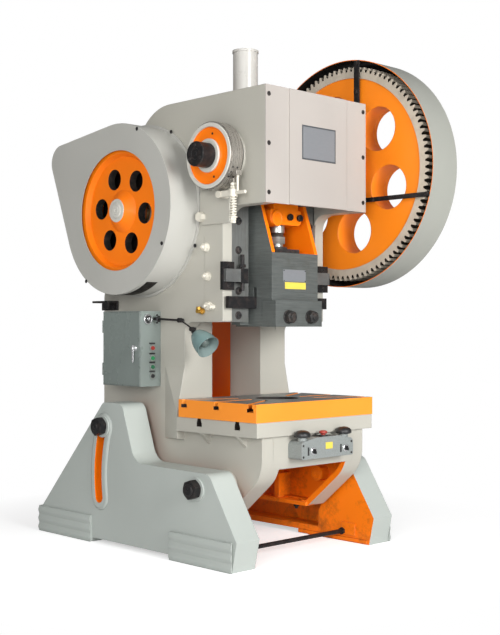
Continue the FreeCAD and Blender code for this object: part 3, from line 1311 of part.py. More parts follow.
piece("cabinet_box", cut(
    fused(cut(block((shell_left, -d.frame_half), cabinet_y, (d.cabinet_low, d.cabinet_high)),
              block((shell_left - 1, -d.frame_half - sheet_wall),
                    (cabinet_y[0] + sheet_wall, cabinet_y[1] - sheet_wall),
                    (d.cabinet_low + sheet_wall, d.cabinet_high - sheet_wall))),
          *shell_rims, *hinge_pins, lamp_foot, dial),
    *shell_holes,
    block((lamp_root[0] - 20, lamp_root[0] + 20), (lamp_root[1] - 17, lamp_root[1] + 15),
          (lamp_root[2] - 8.3, lamp_root[2] + 8.3)),
    rod("z", (lamp_root[2] - 30, lamp_root[2] + 30), (lamp_root[0], lamp_root[1]), 5.05)))
for number, height in enumerate(button_heights, start=1):
    piece(f"cabinet_button_{number}", fused(
        rod("y", (cabinet_y[0] - 13, cabinet_y[0] + sheet_wall - d.button_stroke), (button_centre, height),
            d.button_radius),
        rod("y", (cabinet_y[0] - 5 - d.button_stroke - 4, cabinet_y[0] - 5 - d.button_stroke - 1),
            (button_centre, height), d.button_radius + 3)))
handle_place = (cabinet_y[0] + 44, button_heights[0])
door = block(door_x, (cabinet_y[0] + 1, cabinet_y[1] - 1), (d.cabinet_low + 1, d.cabinet_high - 1))
barrels = [rod("z", (height, height + 50), hinge_place, 4) for height in hinge_heights]
piece("cabinet_door", cut(
    fused(door, *barrels),
    rod("x", (door_x[0] - 1, door_x[1] + 1), handle_place, 9.05),
    *[rod("z", (height - 1, height + 51), hinge_place, 2.05) for height in hinge_heights]))
piece("door_handle", fused(
    rod("x", (door_x[0] - 6, door_x[1]), handle_place, 9),
    rod("x", (door_x[0] - 14, door_x[0] - 0.3), handle_place, 16),
    block((door_x[0] - 22, door_x[0] - 12), (handle_place[0] - 11, handle_place[0] + 11),
          (handle_place[1] - 78, handle_place[1] + 16))))
elbow = (lamp_root[0], lamp_root[1] - 187, lamp_root[2] - 8)
socket = (lamp_root[0], elbow[1] - 100, elbow[2] - 48)
shade_heading = Vector(0, -0.82, -0.572)
piece("lamp_arm_lower", fused(
    rod("z", (lamp_root[2] - 26, lamp_root[2] + 26), (lamp_root[0], lamp_root[1]), 5),
    rod("z", (lamp_root[2] - 8, lamp_root[2] + 8), (lamp_root[0], lamp_root[1]), 14),
    bar((lamp_root[0], lamp_root[1] - 8, lamp_root[2]), (elbow[0], elbow[1] + 8, elbow[2]), 6),
    rod("x", (elbow[0] - 6, elbow[0] + 6.2), (elbow[1], elbow[2]), 13),
    rod("x", (elbow[0] - 6, elbow[0] + 19), (elbow[1], elbow[2]), 4)))
upper_x = (elbow[0] + 6.5, elbow[0] + 15.5)
piece("lamp_arm_upper", cut(
    fused(rod("x", upper_x, (elbow[1], elbow[2]), 13),
          bar((elbow[0] + 11, elbow[1] - 8, elbow[2] - 4), (socket[0] + 11, socket[1] + 8, socket[2] + 4), 4),
          rod("x", upper_x, (socket[1], socket[2]), 12)),
    rod("x", (elbow[0] + 5, elbow[0] + 17), (elbow[1], elbow[2]), 4.05),
    rod("x", (socket[0] + 5, socket[0] + 17), (socket[1], socket[2]), 4.05)))
socket_point = Vector(float(socket[0]), float(socket[1]), float(socket[2]))


def lamp_ring(start, end, first, second):
    feature = fresh("Part::Cone", "Shade")
    bind(feature, "Radius1", first)
    bind(feature, "Radius2", second)
    feature.Height = end - start
    feature.Placement = Placement(socket_point + shade_heading * start,
                                  Rotation(Vector(0, 0, 1), shade_heading))
    return feature


piece("lamp_head", cut(
    fused(rod("x", (socket[0] - 6, socket[0] + 6.2), (socket[1], socket[2]), 12),
          rod("x", (socket[0] - 6, socket[0] + 19), (socket[1], socket[2]), 4),
          lamp_ring(2, 20, 5.5, 6),
          lamp_ring(17, 50, 13, 18),
          lamp_ring(46, 120, d.lamp_shade * 0.5, d.lamp_shade),
          lamp_ring(120, 166, d.lamp_shade, d.lamp_shade + 2)),
    lamp_ring(52, 120.5, d.lamp_shade * 0.5 - 4, d.lamp_shade - 3),
    lamp_ring(120, 168, d.lamp_shade - 3, d.lamp_shade - 1)))

# ---- two-hand control box on the front panel ----
box_front = at(d.panel_depth - d.panel_box_front)
box_y = (box_front, at(d.panel_depth))
half = d.panel_box_half
palm_depth = at(d.panel_depth - 63)
ends_high = d.panel_box_high
box_body = prism("y", box_y, [
    (-half, d.panel_box_low, 12),
    (half, d.panel_box_low, 12),
    (half, ends_high - 14, 10),
    (half - 14, ends_high, 10),
    (85, ends_high + d.panel_box_crown, 120),
    (-85, ends_high + d.panel_box_crown, 120),
    (-half + 14, ends_high, 10),
    (-half, ends_high - 14, 10)])
collar_top = ends_high + d.panel_box_crown + 6
button_cuts = []
collars = []
for across in (-1, 0, 1):
    place = (d.palm_reach * across, palm_depth)
    collars.append(rod("z", (ends_high - 20, collar_top), place, 24))
    button_cuts.append(rod("z", (ends_high - 40, collar_top + 1), place, 14 + d.leg_clear))
knob_places = [(Size(across, str(across)), d.panel_box_low + 40) for across in (-111, 139)]
for place in knob_places:
    button_cuts.append(rod("y", (box_front - 1, box_front + 18), place, 8.05))
piece("control_box", cut(fused(box_body, *collars), *button_cuts))
for name, across, radius in (("palm_button_left", -1, d.palm_radius),
                             ("stop_button", 0, d.palm_radius * 0.57),
                             ("palm_button_right", 1, d.palm_radius)):
    place = (d.palm_reach * across, palm_depth)
    piece(name, fused(
        rod("z", (ends_high - 30, collar_top + 10), place, 14),
        cone("z", (collar_top + d.palm_stroke + 1, collar_top + d.palm_stroke + 9), place,
             (radius - 5, radius)),
        cone("z", (collar_top + d.palm_stroke + 9, collar_top + d.palm_stroke + 18), place,
             (radius, radius * 0.6))))
for name, place in zip(("selector_left", "selector_right"), knob_places):
    piece(name, fused(
        rod("y", (box_front - 10, box_front + 16), place, 8),
        rod("y", (box_front - 8, box_front - 0.3), place, 15),
        block((place[0] - 5, place[0] + 5), (box_front - 24, box_front - 7),
              (place[1] - 14, place[1] + 14))))

# ---- check every object, then write one file per piece ----
doc.recompute()
faulty = [item.Name for item in doc.Objects
          if "Invalid" in item.State or "Error" in item.State]
if faulty:
    raise RuntimeError(f"objects that could not be built: {faulty}")
os.makedirs("parts", exist_ok=True)
for name, feature in PIECES.items():
    if feature.Shape.isNull() or not feature.Shape.isValid():
        raise RuntimeError(f"{name} has no valid shape")
    feature.Shape.exportStep(f"parts/{name}.step")
print(f"{len(PIECES)} pieces written")
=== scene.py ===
"""The looks of an open-back inclinable stamping press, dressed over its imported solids.

Lengths are in millimetres, with depths counted back from the front of the bolster.
"""
import json
from math import atan2, cos, degrees, dist, pi, radians, sin, sqrt, tan

import bmesh
import bpy
from mathutils import Matrix, Vector


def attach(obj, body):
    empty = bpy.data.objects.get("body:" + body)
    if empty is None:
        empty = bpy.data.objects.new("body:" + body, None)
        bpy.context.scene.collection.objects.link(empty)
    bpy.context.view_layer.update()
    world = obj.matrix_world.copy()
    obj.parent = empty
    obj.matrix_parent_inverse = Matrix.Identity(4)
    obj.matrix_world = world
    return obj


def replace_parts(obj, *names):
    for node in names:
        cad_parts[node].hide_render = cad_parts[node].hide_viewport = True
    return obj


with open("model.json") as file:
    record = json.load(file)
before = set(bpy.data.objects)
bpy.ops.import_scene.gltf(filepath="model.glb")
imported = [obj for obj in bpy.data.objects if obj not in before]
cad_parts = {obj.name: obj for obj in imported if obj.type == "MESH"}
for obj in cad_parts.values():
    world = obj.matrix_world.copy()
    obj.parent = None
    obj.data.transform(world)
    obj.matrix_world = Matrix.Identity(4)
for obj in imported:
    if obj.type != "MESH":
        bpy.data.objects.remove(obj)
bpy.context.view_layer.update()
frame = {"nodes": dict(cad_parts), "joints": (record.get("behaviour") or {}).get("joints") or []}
nodes = frame["nodes"]
scene = bpy.context.scene
scene.view_settings.view_transform = "Standard"


# ---- Legs ----
# Two hollow iron castings that carry the press and bolt to the floor. They are sprayed
# grey outside and orange in the pockets, and each foot has three waves cast down its face.
class Finish:
    """One surface finish, built up from shader nodes."""

    def __init__(self, name):
        self.material = bpy.data.materials.new(name)
        self.material.use_nodes = True
        self.tree = self.material.node_tree
        self.shader = self.tree.nodes["Principled BSDF"]

    def add(self, kind, **inputs):
        node = self.tree.nodes.new(kind)
        for key, value in inputs.items():
            if key in node.inputs:
                self.feed(node.inputs[key], value)
            else:
                setattr(node, key, value)
        return node

    def feed(self, socket, value):
        if isinstance(value, bpy.types.NodeSocket):
            self.tree.links.new(value, socket)
        else:
            socket.default_value = (*value, 1) if socket.type == "RGBA" else value

    def paint(self, tone, roughness, metal=0.0, specular=0.5):
        for name, value in (("Base Color", tone), ("Roughness", roughness),
                            ("Metallic", metal), ("Specular IOR Level", specular)):
            self.feed(self.shader.inputs[name], value)

    def spot(self):
        return self.add("ShaderNodeTexCoord").outputs["Object"]

    def grain(self, scale, detail=3, roughness=0.5, stretch=(1, 1, 1)):
        """Noise that lies still on the piece; stretch squeezes it along an axis."""
        laid = self.add("ShaderNodeMapping", Vector=self.spot(), Scale=stretch).outputs["Vector"]
        return self.add("ShaderNodeTexNoise", Vector=laid, Scale=scale,
                        Detail=detail, Roughness=roughness).outputs["Fac"]

    def spread(self, fac, low, high, first=0.0, second=1.0):
        node = self.add("ShaderNodeMapRange", Value=fac)
        for number, value in enumerate((low, high, first, second), start=1):
            node.inputs[number].default_value = value
        return node.outputs["Result"]

    def over(self, fac, under, upper):
        """One colour laid over another where fac is high."""
        node = self.add("ShaderNodeMix", data_type="RGBA")
        for number, value in ((0, fac), (6, under), (7, upper)):
            self.feed(node.inputs[number], value)
        return node.outputs[2]

    def sums(self, operation, first, second):
        node = self.add("ShaderNodeMath", operation=operation)
        self.feed(node.inputs[0], first)
        self.feed(node.inputs[1], second)
        return node.outputs[0]

    def edge(self, radius):
        """The surface normal with corners eased to this radius."""
        return self.add("ShaderNodeBevel", samples=4, Radius=radius / 1000).outputs["Normal"]

    def relief(self, height, strength, radius, distance):
        bump = self.add("ShaderNodeBump", Height=height, Strength=strength,
                        Distance=distance / 1000, Normal=self.edge(radius))
        self.feed(self.shader.inputs["Normal"], bump.outputs["Normal"])

    def worn_and_highlit_edge(self, radius):
        """How far a spot lies on a corner, 0 to 1: where hands and tools rub, and where a painted highlight
        goes.
        """
        facing = self.add("ShaderNodeVectorMath", operation="DOT_PRODUCT")
        self.feed(facing.inputs[0], self.add("ShaderNodeNewGeometry").outputs["Normal"])
        self.feed(facing.inputs[1], self.edge(radius))
        return self.spread(facing.outputs["Value"], 0.985, 0.90)


def shade(colour, part):
    return [part * channel for channel in colour]


def enamel(name, colour, edge=3.0, gloss=0.34, cast=0.0, edge_wear_and_highlight=0.25, sheen=0.5, grime=0.0):
    """Sprayed machine enamel over filler: slow clouding, orange peel, and corners paled where rubbed, on the
    cabinet as a painted highlight too.
    """
    f = Finish(name)
    tone = f.over(f.spread(f.grain(1.3, 2), 0.35, 0.65), shade(colour, 0.90), colour)
    dusty = [part * 0.82 + 0.08 * sheen for part in colour]
    tone = f.over(f.spread(f.grain(26, 5, 0.7), 0.60, 0.82, 0, 0.22), tone, dusty)
    if edge_wear_and_highlight:
        pale = [min(1.0, part * 0.75 + 0.22) for part in colour]
        patchy = f.spread(f.grain(14, 4), 0.4, 0.65, 0, edge_wear_and_highlight)
        tone = f.over(f.sums("MULTIPLY", f.worn_and_highlit_edge(edge * 1.2), patchy), tone, pale)
    if grime:
        tone = f.over(f.spread(f.grain(5, 6, 0.72), 0.5, 0.72, 0, grime), tone, (0.10, 0.035, 0.012))
    f.paint(tone, f.spread(f.grain(7, 4, 0.6), 0.3, 0.7, gloss, gloss + 0.16), specular=sheen)
    f.shader.inputs["Coat Weight"].default_value = 0.24 * sheen
    f.shader.inputs["Coat Roughness"].default_value = 0.25
    skin = f.grain(170, 2)
    if cast:
        skin = f.sums("ADD", f.sums("MULTIPLY", f.grain(24, 4, 0.6), cast), skin)
    f.relief(skin, 0.22, edge, 0.6)
    return f.material


bolster_front = 850


def place(x, depth, z):
    """A point of the press, with its depth behind the front of the bolster."""
    return Vector((x, depth - bolster_front, z))


def axis(body):
    """The depth and height of the hinge that a body turns on."""
    x, y, z = next(joint["pos_m"] for joint in frame["joints"] if joint["child"] == body)
    return round(1000 * y + bolster_front, 2), round(1000 * z, 2)


class Face:
    """One face of a CAD node, with depths for its y, as tests pick faces by their place."""

    def __init__(self, corners, normal):
        self.corners = corners
        self.normal = normal
        self.low, self.high = (Vector(pick(c[i] for c in corners) for i in range(3)) for pick in (min, max))
        self.inner, self.outer = (pick(abs(c.x) for c in corners) for pick in (min, max))

    def reach(self, middle, upright=False):
        """Least and greatest distance of its corners from a sideways or an upright axis."""
        reaches = [dist(c.xy if upright else c.yz, middle) for c in self.corners]
        return min(reaches), max(reaches)


def coat(node_name, finish, *zones):
    """Gives a CAD node a finish, and others to faces that tests pick; the first match counts."""
    mesh = nodes[node_name].data
    mesh.materials.clear()
    mesh.materials.append(finish)
    for other, chosen in zones:
        mesh.materials.append(other)
    spots = [Vector((v.co.x * 1000, v.co.y * 1000 + bolster_front, v.co.z * 1000)) for v in mesh.vertices]
    for polygon in mesh.polygons if zones else ():
        face = Face([spots[i] for i in polygon.vertices], polygon.normal)
        for number, (other, chosen) in enumerate(zones, start=1):
            if chosen(face):
                polygon.material_index = number
                break


def added(name, data):
    thing = bpy.data.objects.new(name, data)
    scene.collection.objects.link(thing)
    return thing


def fitted(name, shape, body, *finishes, smooth=32):
    """Turns a bmesh in millimetres into a named piece that rides on a body."""
    bmesh.ops.recalc_face_normals(shape, faces=shape.faces)
    bmesh.ops.scale(shape, vec=(0.001, 0.001, 0.001), verts=shape.verts)
    mesh = bpy.data.meshes.new(name)
    shape.to_mesh(mesh)
    shape.free()
    for finish in finishes:
        mesh.materials.append(finish)
    mesh.polygons.foreach_set("use_smooth", [True] * len(mesh.polygons))
    mesh.set_sharp_from_angle(angle=radians(smooth))
    piece = added(name, mesh)
    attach(piece, body)
    return piece


def loop_skin(shape, rings, closed=False, slot=0):
    """Skins a row of equal rings of points, and closes its ends or joins the last to the first."""
    laid = [[shape.verts.new(point) for point in ring] for ring in rings]
    pairs = list(zip(laid, laid[1:])) + ([(laid[-1], laid[0])] if closed else [])
    for first, second in pairs:
        for i in range(len(first)):
            j = (i + 1) % len(first)
            shape.faces.new((first[i], first[j], second[j], second[i])).material_index = slot
    for end in () if closed else (laid[0][::-1], laid[-1]):
        shape.faces.new(end).material_index = slot


leg_grey = enamel("leg_grey_enamel", (0.44, 0.475, 0.445), edge=5, cast=2.2)
signal_orange = enamel("signal_orange_enamel", (1.0, 0.215, 0.004), edge=4, gloss=0.3,
                       sheen=0.22, edge_wear_and_highlight=0.12)
foot_orange = enamel("oily_orange_enamel", (1.0, 0.225, 0.006), edge=4, gloss=0.34,
                     cast=1.6, sheen=0.22, edge_wear_and_highlight=0.3, grime=0.75)
tilt_axis = axis("frame")
slot_reach, slot_half = 826, 33
slot_low, slot_high = -8.8, 19.2
slot_rim = ((60.5, 600.6), (60.5, 608.6), (63, 608), (66, 605.4), (69.5, 602.8), (74, 601.3), (76, 600.6))


def on_circle(middle, reach, swing):
    angle = radians(swing)
    return middle[0] + reach * cos(angle), middle[1] + reach * sin(angle)


def arc_slot_wall(face):
    """True for a face that keeps within half a slot's width of its middle line."""
    for c in face.corners:
        rise = degrees(atan2(c.z - tilt_axis[1], c.y - tilt_axis[0]))
        middle = on_circle(tilt_axis, slot_reach, max(slot_low, min(slot_high, rise)))
        if dist(c.yz, middle) > slot_half + 0.6:
            return False
    return True


def round_the_slot(moulding, steps=24, end_steps=13):
    """Rings of points once round the arc slot, for a moulding of (reach, x) points."""
    rings = []
    for way, first, last in ((1, slot_low, slot_high), (-1, slot_high, slot_low)):
        for i in range(steps + end_steps):
            out = Vector((0, *on_circle((0, 0), 1, first + (last - first) * min(1, i / steps))))
            ahead = Vector((0, -out.z, out.y))
            swing = radians(180 * max(0, i - steps) / end_steps)
            heading = way * (out * cos(swing) + ahead * sin(swing))
            rings.append([place(x, *tilt_axis) + out * slot_reach + heading * reach
                          for reach, x in moulding])
    return rings


sides = ((-1, "left"), (1, "right"))
foot_face, foot_low, foot_top = 613.2, 2, 148
wave_high, wave_pitch = 8.5, 50
for side, word in sides:
    coat(f"leg_{word}", leg_grey, (signal_orange, arc_slot_wall),
         (foot_orange, lambda face: face.outer < 562))
    rim = bmesh.new()
    loop_skin(rim, round_the_slot([(reach, side * x) for reach, x in slot_rim]), closed=True)
    fitted(f"slot_rim_blend_{word}", rim, "base", leg_grey, smooth=60)
    for foot, front, rear in (("front", 7, 485), ("rear", 1180, 1690)):
        rings = []
        for step in range(13):
            depth = front + (rear - front) * step / 12
            edge = 2.5 if step in (0, 12) else 0
            ring = [place(side * 611, depth, foot_top), place(side * 611, depth, foot_low)]
            for rise in range(61):
                z = foot_low + (foot_top - foot_low) * rise / 60
                swell = wave_high * (0.5 - 0.5 * cos(2 * pi * z / wave_pitch)) ** 0.6
                ring.append(place(side * (foot_face + max(0, swell - edge)), depth, z))
            rings.append(ring)
        waves = bmesh.new()
        loop_skin(waves, rings)
        fitted(f"foot_waves_{foot}_{word}", waves, "base", leg_grey, smooth=50)


# ---- Tie rods, pivot bolts and tilt lock bolts ----
# Black oiled steel: long bars that hold the legs apart, and big hexagon nuts on turned
# washers. The pivot bolts carry the frame, and the lock bolts clamp it in the arc slots.
def blacked(name, colour=(0.013, 0.013, 0.014), rough=0.34, edge=1.2):
    """Oil-blacked steel, a little brown and dull where it was handled."""
    f = Finish(name)
    brown = [colour[0] * 2.6 + 0.006, colour[1] * 2.0 + 0.004, colour[2] * 1.7 + 0.003]
    tone = f.over(f.spread(f.grain(30, 5, 0.65), 0.45, 0.75), colour, brown)
    patchy = f.spread(f.grain(60, 3), 0.35, 0.6, 0, 0.5)
    tone = f.over(f.sums("MULTIPLY", f.worn_and_highlit_edge(edge * 1.3), patchy), tone, (0.16, 0.15, 0.14))
    f.paint(tone, f.spread(f.grain(45, 3), 0.3, 0.7, rough, rough + 0.2), 0.2, 0.25)
    f.relief(f.grain(320, 2), 0.15, edge, 0.3)
    return f.material


to_left, to_right, to_front, upward, downward = (-1, 0, 0), (1, 0, 0), (0, -1, 0), (0, 0, 1), (0, 0, -1)


def aim(point, heading):
    """Stands local +Z along a heading at a point."""
    return Matrix.Translation(point) @ Vector(heading).to_track_quat("Z", "Y").to_matrix().to_4x4()


def seat(x, depth, z, heading):
    return aim(place(x, depth, z), heading)


def turn(shape, stand, profile, steps=64, slot=0):
    """Turns a profile of (radius, height) about the stand's Z axis; radius 0 closes an end."""
    last = None
    for radius, height in profile:
        ring = [shape.verts.new(stand @ Vector((*on_circle((0, 0), radius, 360 * i / steps), height)))
                for i in range(steps if radius else 1)]
        for i in range(steps if last else 0):
            j = (i + 1) % steps
            corners = list(dict.fromkeys((last[i % len(last)], last[j % len(last)],
                                          ring[j % len(ring)], ring[i % len(ring)])))
            if len(corners) > 2:
                shape.faces.new(corners).material_index = slot
        last = ring


def nut(shape, stand, flats, high, slot=0, turned=0.0, steps=72):
    """A hexagon nut or bolt head whose corners are turned off at 30 degrees on both faces."""
    half = flats / 2
    land = half * 0.96
    rings = [[], [], [], []]
    for i in range(steps):
        angle = 2 * pi * i / steps
        reach = half / cos((angle + pi / 6) % (pi / 3) - pi / 6)
        drop = (reach - land) * tan(radians(30))
        across = Vector((cos(angle + turned), sin(angle + turned), 0))
        for ring, out, height in zip(rings, (land, reach, reach, land), (0, drop, high - drop, high)):
            ring.append(stand @ (across * out + Vector((0, 0, height))))
    loop_skin(shape, rings, slot=slot)


bolt_black = blacked("oil_blacked_steel")
coat("tie_rods", bolt_black)
for node_name, body, middle, washer_face, shank, inner in (
        ("pivot_bolts", "base", tilt_axis, 601, 30, 296),
        ("tilt_lock_bolts", "frame", (1063.07, 659.64), 609.3, 24, 304)):
    bolts = bmesh.new()
    for side, word in sides:
        out = (side, 0, 0)
        outer_end, inner_end = seat(side * washer_face, *middle, out), seat(side * inner, *middle, out)
        turn(bolts, outer_end, [(0, 0), (62, 0), (62, 7.5), (60.5, 9), (30, 9)], slot=2)
        nut(bolts, seat(side * (washer_face + 9), *middle, out), 90, 44, turned=0.2 * side)
        turn(bolts, outer_end, [(shank, 50), (shank, 58), (shank - 3, 61), (9, 61), (7, 59), (0, 59)], 40)
        turn(bolts, inner_end,
             [(0, 2), (9, 2), (10, 0), (17, 0), (18, 1.5), (shank - 2, 0), (shank, 2), (shank, 30)], 40, 1)
        turn(bolts, inner_end, [(shank, 30), (shank, washer_face - inner + 2)], 40)
    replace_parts(fitted(f"{node_name}_dressed", bolts, body, bolt_black, signal_orange, leg_grey), node_name)
ledge_bolt = bmesh.new()
ledge_hole = seat(272, 412, 205, downward)
nut(ledge_bolt, ledge_hole, 30, 13)
turn(ledge_bolt, ledge_hole, [(9, 13), (9, 24), (7.5, 26), (0, 26)], steps=24)
fitted("ledge_bolt", ledge_bolt, "frame", bolt_black)


# ---- Press frame ----
# Heavy plates welded together: two cheeks with bed, front panel and inner walls. They
# are sprayed light grey outside and orange inside, and faces that carry parts are machined.
frame_grey = enamel("frame_grey_enamel", (0.455, 0.44, 0.385), edge=7, cast=0.9)
inner_orange = enamel("inner_orange_enamel", (0.98, 0.20, 0.006), edge=4, gloss=0.4, cast=1.6, sheen=0.25)


def ground(name, colour=(0.40, 0.43, 0.41), rough=0.30, edge=1.0, along=(1, 1, 1), tint=0.75,
           metal=0.8, stains=0.6):
    """Bare steel or iron with the fine lines of grinding, lightly oiled."""
    f = Finish(name)
    lines = f.grain(9, 4, 0.7, along)
    tone = f.over(f.spread(lines, 0.35, 0.65), shade(colour, tint), colour)
    stain = [colour[0] * 0.62, colour[1] * 0.58, colour[2] * 0.50]
    tone = f.over(f.spread(f.grain(11, 5, 0.65), 0.55, 0.8, 0, stains), tone, stain)
    f.paint(tone, f.spread(lines, 0.3, 0.7, rough, rough + 0.16), metal)
    f.relief(f.grain(60, 3, 0.6, along), 0.12, edge, 0.3)
    return f.material


bare_steel = ground("ground_steel", along=(1, 1, 30))
# Dark with oil in the slots, and painted shade in the slide's well, on the ball screw and in the flywheel's
# holes.
slot_dark = blacked("oil_and_painted_shade_dark", (0.02, 0.019, 0.018), rough=0.5)
crank_axis = axis("crank")
bed_top, bed_skirt, bed_half = 730, 652, 365.5
walls_half, column_front, throat_top, throat_depth = 309.6, 874, 1241, 330
toe_front, toe_radius, toe_start, toe_end = 21, 200, 544, 391
under_depth, under_top, under_slope = 103, 382, 0.842
seat_half, seat_reach = 400.8, 158.5


def toe(z):
    """How far back the turned front edge of the cheeks lies at a height."""
    if z > toe_start:
        return toe_front
    if z > toe_end:
        return toe_front + toe_radius - sqrt(toe_radius ** 2 - (toe_start - z) ** 2)
    return under_depth + (under_top - z) / under_slope


def frame_inside(face):
    if face.high.z < bed_top + 1 and face.low.z < bed_skirt:
        outline = face.normal.y < -0.15 and all(c.y - toe(c.z) < 6 for c in face.corners)
        return face.outer < bed_half and not outline
    return face.outer < walls_half and (
        face.low.y > column_front or (face.low.z > throat_top and face.low.y > throat_depth))


def bed_inside(face):
    return face.high.z < bed_top + 1 and frame_inside(face)


def bed_slot(face):
    return bed_top - 44 < face.low.z and face.high.z <= bed_top + 0.5 and any(
        middle - 20.6 < face.low.y and face.high.y < middle + 20.6 for middle in (145, 438))


def machined_seat(face):
    on_bed = face.normal.z > 0.9 and abs(face.corners[0].z - bed_top) < 0.6
    at_crank = abs(face.normal.x) > 0.9 and face.inner > seat_half and face.reach(crank_axis)[1] < seat_reach
    return on_bed or at_crank


coat("press_frame", frame_grey, (slot_dark, bed_slot), (bare_steel, machined_seat),
     (foot_orange, bed_inside), (inner_orange, frame_inside))


# ---- Bolster ----
# A planed iron plate with T-slots that point to the blanking hole. The top is bare,
# the four sides are orange, and the slots are dark with oil.
bolster_top = ground("planed_iron", (0.36, 0.37, 0.36), rough=0.36, along=(1, 22, 1), tint=0.82)
bolster_orange = enamel("bolster_orange_enamel", (0.95, 0.30, 0.03), edge=4, gloss=0.3, sheen=0.25)
plate_top, plate_half = 825, 450


def t_slot(face):
    return face.outer < plate_half - 0.4 or (
        781 < face.low.z and face.high.z < plate_top - 0.4 and abs(face.normal.z) < 0.1
        and abs(face.normal.y) > 0.3 and face.low.y > 1 and face.high.y < 599)


coat("bolster", bolster_orange,
     (bolster_top, lambda face: face.normal.z > 0.9 and face.corners[0].z > plate_top - 0.5),
     (slot_dark, t_slot))


# ---- Front cover and name plate ----
# Pressed sheet, folded twice so that its middle stands out, held by six button screws
# at its edges. The etched plate is left bare inside its rolled border.
sheet_grey = enamel("sheet_grey_enamel", (0.42, 0.385, 0.355), edge=2, edge_wear_and_highlight=0.15)
coat("front_cover", sheet_grey)


def button_screw(shape, stand, radius, slot=0):
    """A round head with its hexagon socket, set over a thin washer."""
    head = [(radius * out, radius * up) for out, up in (
        (0.96, 0.35), (0.72, 0.6), (0.42, 0.66), (0.38, 0.2), (0, 0.2))]
    washer = [(0, 0), (radius * 1.35, 0), (radius * 1.35, 1.2), (radius, 1.4)]
    turn(shape, stand, washer + head, 24, slot)


def front_screws(shape, across, depth, heights, radius, slot=0):
    """Button screws that face the front, one at each crossing of the rows."""
    for x in across:
        for z in heights:
            button_screw(shape, seat(x, depth, z, to_front), radius, slot)


def slab(shape, low, high, soft=1.0, slot=0):
    """A block with softened edges between two opposite corners."""
    ends = place(*low), place(*high)
    low, high = Vector(map(min, *ends)), Vector(map(max, *ends))
    before = set(shape.faces)
    made = bmesh.ops.create_cube(shape, size=1)
    size = high - low
    for v in made["verts"]:
        v.co = low + Vector(((v.co.x + 0.5) * size.x, (v.co.y + 0.5) * size.y, (v.co.z + 0.5) * size.z))
    edges = set(e for v in made["verts"] for e in v.link_edges)
    bmesh.ops.bevel(shape, geom=list(edges), offset=soft, segments=2, affect="EDGES")
    for face in set(shape.faces) - before:
        face.material_index = slot


def etched(name, colour, metal):
    """A bare etched plate: satin metal crossed by faint brushing."""
    f = Finish(name)
    brushed = f.grain(40, 3, 0.6, (1, 1, 40))
    f.paint(f.over(f.spread(brushed, 0.3, 0.7), shade(colour, 0.86), colour),
            f.spread(brushed, 0.3, 0.7, 0.30, 0.42), metal)
    f.relief(brushed, 0.06, 0.6, 0.2)
    return f.material


cover_screws = bmesh.new()
front_screws(cover_screws, (-366, 366), -5, (2397, 2147, 1897), 9)
fitted("cover_screws", cover_screws, "frame", bolt_black)
plate_satin = etched("satin_plate", (0.25, 0.26, 0.275), 0.25)
plate_border = etched("plate_border", (0.12, 0.13, 0.14), 0.4)
name_plate = bmesh.new()
slab(name_plate, (-130, -14.4, 2087), (130, -12, 2267), 0.6, 1)
slab(name_plate, (-122, -15, 2095), (122, -13.8, 2259), 0.4)
front_screws(name_plate, (-126.5, 126.5), -13.8, (2091, 2263), 2.6, 1)
fitted("name_plate", name_plate, "frame", plate_satin, plate_border)


# ---- Tie rod pads and way seam ----
# Raised pads cast inside each leg where a tie rod is drawn up, a strip along the foot,
# and the filled seam on the cheek where the way block is welded in.
leg_inner_face, cheek_face = 443, 390
for side, word in sides:
    pads = bmesh.new()
    for front, low, rear, high, proud in ((117, 36, 218, 110, 5), (30, 3, 560, 26, 4)):
        slab(pads, (side * (leg_inner_face + 0.2), front, low),
             (side * (leg_inner_face - proud), rear, high), 2)
    fitted(f"tie_rod_pads_{word}", pads, "base", foot_orange)
    seam = bmesh.new()
    slab(seam, (side * (cheek_face - 1.4), 455, 1262), (side * cheek_face, 458, 1700), 0.6)
    fitted(f"way_seam_{word}", seam, "frame", frame_grey)


# ---- Top tube ----
# A length of steel pipe on a welded flange, open at the top with a rolled lip. Six
# bolts hold the flange to the head.
tube_grey = enamel("tube_grey_enamel", (0.53, 0.515, 0.48), edge=2, gloss=0.22)
tube_depth, flange_top, bolt_circle = 549, 2456, 83
coat("top_tube", tube_grey,
     (inner_orange, lambda face: face.reach((0, tube_depth), upright=True)[1] < 64.6))
tube_bolts = bmesh.new()
for swing in range(30, 390, 60):
    nut(tube_bolts, seat(*on_circle((0, tube_depth), bolt_circle, swing), flange_top, upward), 15, 8)
fitted("tube_flange_bolts", tube_bolts, "frame", bolt_black)


# ---- Gibs, gib bolts and set screws ----
# Ground steel strips keep the slide's guides on their ways. Socket screws hold them to
# the frame, and long set screws with lock nuts come through the cheeks to bear on them.
def thread(start, pitch, turns, crest, root):
    """The zigzag profile of a screw's thread, as turned rings."""
    points = []
    for step in range(turns):
        points += [(crest, start + pitch * step), (root, start + pitch * (step + 0.5))]
    return points


